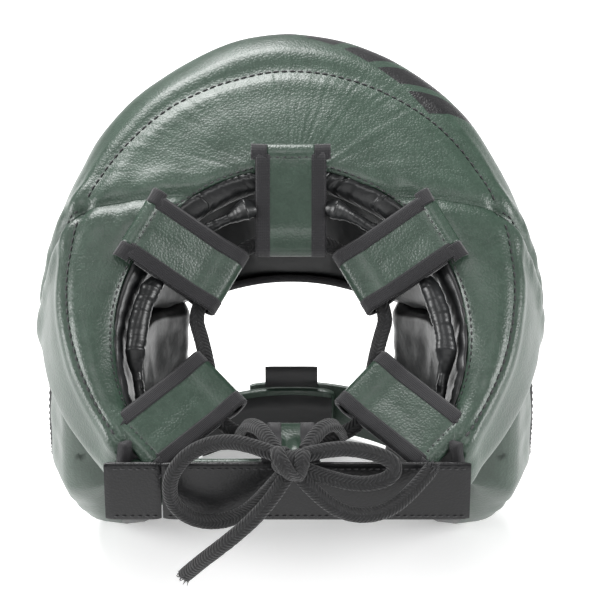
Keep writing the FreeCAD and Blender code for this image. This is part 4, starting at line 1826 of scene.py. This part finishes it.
# ------------------------------------------------------------------ closures
@dataclass
class Strip:
    """A flat band with rounded edges, along a line and across it."""

    name: str
    line: Sequence[Vector]
    up: Vector
    half_height: float
    thickness: float
    outwards: Callable[[Vector], Vector]
    round_off: float = 1.2
    puff: float = 0.0

    def build(self, body: str, slot: str, material: bpy.types.Material,
              nodes: Sequence[str] = ()) -> bpy.types.Object:
        """Makes the closed band; the line is the middle of its back.

        Args:
            body: the CAD body it moves with.
            slot: not used.
            material: its finish.
            nodes: the CAD nodes it stands for.

        Returns:
            The object.
        """
        profile = []
        for k in range(11):
            t = 2 * k / 10 - 1
            profile.append((t * (self.half_height - self.round_off), self.thickness
                            + self.puff * (1 - t * t)))
        high = [(self.half_height - self.round_off * 0.3, self.thickness - self.round_off * 0.25),
                (self.half_height, self.thickness * 0.6), (self.half_height, self.thickness * 0.3),
                (self.half_height - self.round_off * 0.3, 0.0)]
        low = [(-h, d) for h, d in reversed(high)]
        ring = profile + high + [(0.0, 0.0)] + low
        piece = Piece(self.name)
        rings = []
        for k, point in enumerate(self.line):
            out = self.outwards(point)
            shrink = 1.0
            for gap in (k, len(self.line) - 1 - k):
                if gap < 3:
                    shrink = min(shrink, 1 - 0.5 * self.round_off / self.half_height
                                 * (1 - gap / 3) ** 2)
            thin = 0.65 if k in (0, len(self.line) - 1) else 1.0
            rings.append([point + self.up * (h * shrink)
                          + out * (self.thickness / 2 + (d - self.thickness / 2) * thin)
                          for h, d in ring])
        reach = [0.0]
        for here, there in zip(self.line, self.line[1:]):
            reach.append(reach[-1] + (there - here).length)
        piece.sheet(rings, lambda i, j: (reach[i], ring[j][0], 0.0), wrap=True)
        piece.cap(rings[0], flip=True)
        piece.cap(rings[-1])
        return piece.build(body, slot, material, nodes)

    def stitches(self, body: str, wardrobe: Wardrobe, rows: Sequence[float]) -> None:
        """Rows of stitches on the outer face, at heights from its middle.

        Args:
            body: the CAD body it moves with.
            wardrobe: the finishes.
            rows: heights from the middle.
        """
        thread = Piece(f"{self.name}_stitches")
        for height in rows:
            share = height / (self.half_height - self.round_off)
            proud = self.thickness + self.puff * (1 - share * share)
            line = [p + self.up * height + self.outwards(p) * proud for p in self.line]
            SEAM.sew(thread, line[1:-1], [self.outwards(p) for p in self.line[1:-1]])
        thread.build(body, "binding_tape", wardrobe.thread)


def level_line(start: Vector, end: Vector, count: int) -> list[Vector]:
    """Evenly spaced points from start to end."""
    return [start.lerp(end, k / (count - 1)) for k in range(count)]


@dataclass
class RearClosure:
    """The tongue, the strap over it, their patches and the pull tab."""

    tongue_y: float = 96.6
    tongue_thick: float = 4.5
    patch: float = 1.3
    strap_y: float = 104.2
    strap_thick: float = 2.6

    def build(self, wardrobe: Wardrobe) -> None:
        """Makes the closure's pieces.

        Args:
            wardrobe: the finishes.
        """
        back = Vector((0, 1, 0))
        up = Vector((0, 0, 1))

        def rearwards(point: Vector) -> Vector:
            """Every piece here faces the rear."""
            return back

        tongue = Strip("rear_tongue_leather", level_line(Vector((-14, self.tongue_y, 102.5)),
                                                         Vector((76, self.tongue_y, 102.5)), 40),
                       up, 12.5, self.tongue_thick, rearwards, 2.0)
        tongue.build("headgear", "green_leather", wardrobe.green, ["rear_tongue"])
        loops = Strip("rear_loops", level_line(Vector((-10, 101.1, 102.5)),
                                               Vector((50, 101.1, 102.5)), 30),
                      up, 9.5, self.patch, rearwards, 0.5)
        loops.build("headgear", "loop_fastener", wardrobe.loops, ["rear_loop_patch"])
        hooks = Strip("rear_hooks", level_line(Vector((-8, self.strap_y - self.patch, 102.5)),
                                               Vector((48, self.strap_y - self.patch, 102.5)), 30),
                      up, 8.5, self.patch, rearwards, 0.5)
        hooks.build("headgear", "hook_fastener", wardrobe.hooks, ["rear_hook_patch"])
        strap = Strip("rear_strap_leather", level_line(Vector((-84, self.strap_y, 102)),
                                                       Vector((60, self.strap_y, 102)), 60),
                      up, 16, self.strap_thick, rearwards, 1.2, 0.3)
        strap.build("headgear", "black_strap", wardrobe.strap, ["rear_strap"])
        strap.stitches("headgear", wardrobe, (-13.4, 13.4))
        pull = Strip("rear_pull_leather", level_line(Vector((60.6, self.strap_y, 102)),
                                                     Vector((87, self.strap_y, 102)), 16),
                     up, 16, self.strap_thick, rearwards, 1.2, 0.3)
        pull.build("pull_tab", "black_strap", wardrobe.strap, ["rear_pull_tab"])
        pull.stitches("pull_tab", wardrobe, (-13.4, 13.4))


@dataclass
class ChinClosure:
    """The chin band in two lengths, their patches and the blank satin label."""

    middle_y: float = -8.97
    inner: float = 77.03
    outer: float = 86.13

    def arc(self, radius: float, start: float, end: float, height: float,
            count: int) -> list[Vector]:
        """Points along the front of the chin, between two x places.

        Args:
            radius: distance from the chin's centre.
            start: x place where it starts.
            end: x place where it ends.
            height: height of the line.
            count: how many points it gets.

        Returns:
            The points.
        """
        low, high = (math.asin(max(-0.999, min(0.999, x / radius))) for x in (start, end))
        return [Vector((radius * math.sin(a), self.middle_y - radius * math.cos(a), height))
                for a in (low + (high - low) * k / (count - 1) for k in range(count))]

    def build(self, wardrobe: Wardrobe) -> None:
        """Makes the band, the flap and the label.

        Args:
            wardrobe: the finishes.
        """
        up = Vector((0, 0, 1))

        def ahead(point: Vector) -> Vector:
            """Straight out from the band's curve."""
            return Vector((point.x, point.y - self.middle_y, 0)).normalized()

        band = Strip("chin_inner_leather", self.arc(self.inner, -22, 48, 18, 48), up, 16, 5.6,
                     ahead, 2.4)
        band.build("headgear", "green_leather", wardrobe.green, ["chin_inner_strap"])
        band.stitches("headgear", wardrobe, (-12.5, 12.5))
        lining = Strip("chin_lining", self.arc(self.inner - 0.5, -21.5, 47.5, 16.8, 40), up,
                       14.4, 0.7, ahead, 0.4)
        lining.build("headgear", "black_lining", wardrobe.lining)
        loops = Strip("chin_loops", self.arc(83.03, -20, 24, 18, 30), up, 12, 1.35, ahead, 0.5)
        loops.build("headgear", "loop_fastener", wardrobe.loops, ["chin_loop_patch"])
        hooks = Strip("chin_hooks", self.arc(84.75, -20, 20, 18, 30), up, 11, 1.35, ahead, 0.5)
        hooks.build("chin_flap", "hook_fastener", wardrobe.hooks, ["chin_hook_patch"])
        flap = Strip("chin_outer_leather", self.arc(self.outer, -56.5, 22, 18, 56), up, 15, 3.0,
                     ahead, 1.2, 0.4)
        flap.build("chin_flap", "green_leather", wardrobe.green, ["chin_outer_strap"])
        flap.stitches("chin_flap", wardrobe, (-12.4, 12.4))
        label = Strip("blank_satin_label", level_line(Vector((-14, -88.6, 41)),
                                                      Vector((14, -88.6, 41)), 14),
                      up, 6.5, 0.8, lambda point: Vector((0, -1, 0)), 0.3)
        label.build("label", "label_satin", wardrobe.satin, ["care_label"])


@dataclass
class EdgeBindings:
    """Tape along the brow and round each wing's end."""

    shell: Shell

    def build(self, wardrobe: Wardrobe) -> None:
        """Makes the three tapes.

        Args:
            wardrobe: the finishes.
        """
        shell = self.shell
        brow = []
        for k in range(90):
            degrees = -36 + 72 * k / 89
            angle = math.radians(degrees)
            low = shell.hem_height(degrees)
            near, far = shell.hem_in.radius(angle), shell.hem_out.radius(angle)
            flats = ((far - 0.5, low + 3.5), (far + 0.4, low + 0.6), (far - 2.5, low - 2.6),
                     ((near + far) / 2, low - 3.0), (near + 2.5, low - 2.8),
                     (near - 0.3, low - 0.2), (near - 0.2, low + 3.0))
            brow.append(flowing([around(f, degrees) for f in flats], 20))
        tape = Piece("brow_tape")
        tape.sheet(brow, lambda i, j: (j * 2.2, i * 1.3, 0.0), flip=True)
        tape.build("headgear", "binding_tape", wardrobe.tape, ["brow_binding"], thickness=0.6)
        for side in (-1, 1):
            end = shell.wing_end
            outline = [around(f, end) for f in shell.crown_line(end)[:-1]
                       + shell.outer_line(end)]
            outline += [around(f, end) for f in shell.inner_line(end)[::-1]]
            outline = [Vector((p.x * side, p.y, p.z)) for p in outline]
            middle = sum(outline, Vector()) / len(outline)
            angle = math.radians(end)
            along = Vector((math.cos(angle) * side, math.sin(angle), 0))
            rows = []
            for shift, grow in ((-3.2, 1.0), (-0.6, 1.6), (0.9, 1.2), (1.9, -1.2), (2.1, -4.0)):
                row = []
                for p in outline:
                    out = (p - middle)
                    row.append(p + along * shift + out.normalized() * grow)
                rows.append(spaced(row + row[:1], 110)[:-1])
            name = "left" if side > 0 else "right"
            cap = Piece(f"{name}_wing_end_tape")
            cap.sheet(rows, lambda i, j: (j * 1.6, i * 2.0, 0.0), wrap=True, flip=side > 0)
            cap.cap(rows[-1], flip=side < 0)
            cap.build("headgear", "binding_tape", wardrobe.tape, [f"{name}_wing_binding"])


# ------------------------------------------------------------------ studio
@dataclass
class Studio:
    """Pale floor, soft lights and the camera."""

    azimuth: float = 180.0
    elevation: float = 31.0
    distance: float = 1.4
    view: float = 0.291
    look_at: tuple[float, float, float] = (-0.0025, 0.0096, 0.145)

    def camera(self) -> None:
        """Places the camera behind and above the headgear."""
        aim = Vector(self.look_at)
        lift, turn = math.radians(self.elevation), math.radians(self.azimuth)
        away = Vector((math.sin(turn) * math.cos(lift), -math.cos(turn) * math.cos(lift),
                       math.sin(lift)))
        data = bpy.data.cameras.new("camera")
        data.sensor_width = 36.0
        data.lens = 36.0 * self.distance / self.view
        data.dof.use_dof = False
        thing = bpy.data.objects.new("camera", data)
        thing.location = aim + away * self.distance
        thing.rotation_euler = (-away).to_track_quat("-Z", "Y").to_euler()
        bpy.context.collection.objects.link(thing)
        bpy.context.scene.camera = thing

    def light(self, name: str, place: Sequence[float], size: float, power: float) -> None:
        """A soft square light that looks at the headgear.

        Args:
            name: name of the light.
            place: where it stands, in metres.
            size: side of the square, in metres.
            power: its power in watts.
        """
        data = bpy.data.lights.new(name, "AREA")
        data.size = size
        data.energy = power
        thing = bpy.data.objects.new(name, data)
        thing.location = place
        thing.rotation_euler = (Vector(self.look_at) - Vector(place)).to_track_quat(
            "-Z", "Y").to_euler()
        bpy.context.collection.objects.link(thing)

    def build(self) -> None:
        """Makes the floor, the sky and the lights."""
        floor = bpy.data.meshes.new("floor")
        floor.from_pydata([(-4, -4, 0), (4, -4, 0), (4, 4, 0), (-4, 4, 0)], [], [(0, 1, 2, 3)])
        thing = bpy.data.objects.new("floor", floor)
        bpy.context.collection.objects.link(thing)
        floor.materials.append(Paper().make())
        world = bpy.data.worlds.new("studio")
        world.use_nodes = True
        sky = world.node_tree.nodes["Background"]
        sky.inputs["Color"].default_value = (1.0, 1.0, 1.0, 1.0)
        sky.inputs["Strength"].default_value = 0.27
        bpy.context.scene.world = world
        for name, place, size, power in (
                ("overhead", (0.3, -0.7, 1.25), 0.8, 27.0),
                ("left", (1.5, 0.35, 0.6), 0.7, 23.0),
                ("right", (-1.4, 0.5, 0.7), 0.7, 21.0),
                ("rear", (0.1, 1.2, 1.6), 0.7, 8.0)):
            self.light(name, place, size, power)


def main() -> None:
    """Builds the headgear, the camera and the studio."""
    logging.basicConfig(level=logging.INFO)
    bpy.context.scene.view_settings.view_transform = "Standard"
    studio = Studio()
    studio.camera()
    wardrobe, shell = Wardrobe(), Shell()
    tilt = Tilt(shell)
    bow = Bow(tilt)
    bow.build_laces(wardrobe)
    LeatherPanel("front", -shell.front_end, shell.front_end, shell).dress(
        wardrobe, wardrobe.front, "front")
    for side, name in ((1, "left"), (-1, "right")):
        start, end = side * (shell.front_end + 0.02), side * shell.wing_end
        LeatherPanel(f"{name}_wing", min(start, end), max(start, end), shell).dress(
            wardrobe, wardrobe.green, f"{name}_wing")
        CheekPad(side, shell).build(wardrobe)
    EdgeBindings(shell).build(wardrobe)
    tabs = []
    for name, turn, tip in (("front", 0.0, (0.0, 44.0)), ("front_left", 53.0, (34.3, 25.9)),
                            ("front_right", -53.0, (-34.3, 25.9)),
                            ("back_left", 126.0, (37.2, -27.0)),
                            ("back_right", -126.0, (-37.2, -27.0))):
        tabs.append(Tab(name, tilt.on_rim(turn) + tilt.normal * 4.6, tilt.in_ring(*tip), tilt))
    tabs.append(Tab("rear", Vector((0, 98.85, 117.9)), tilt.in_ring(0, -52), tilt, width=22.0,
                    foot=3.0, pleats=5))
    for tab in tabs:
        tab.build(wardrobe)
    CrownRoll(tilt, tabs).build(wardrobe)
    RearClosure().build(wardrobe)
    ChinClosure().build(wardrobe)
    studio.build()


if __name__ == "__main__":
    main()
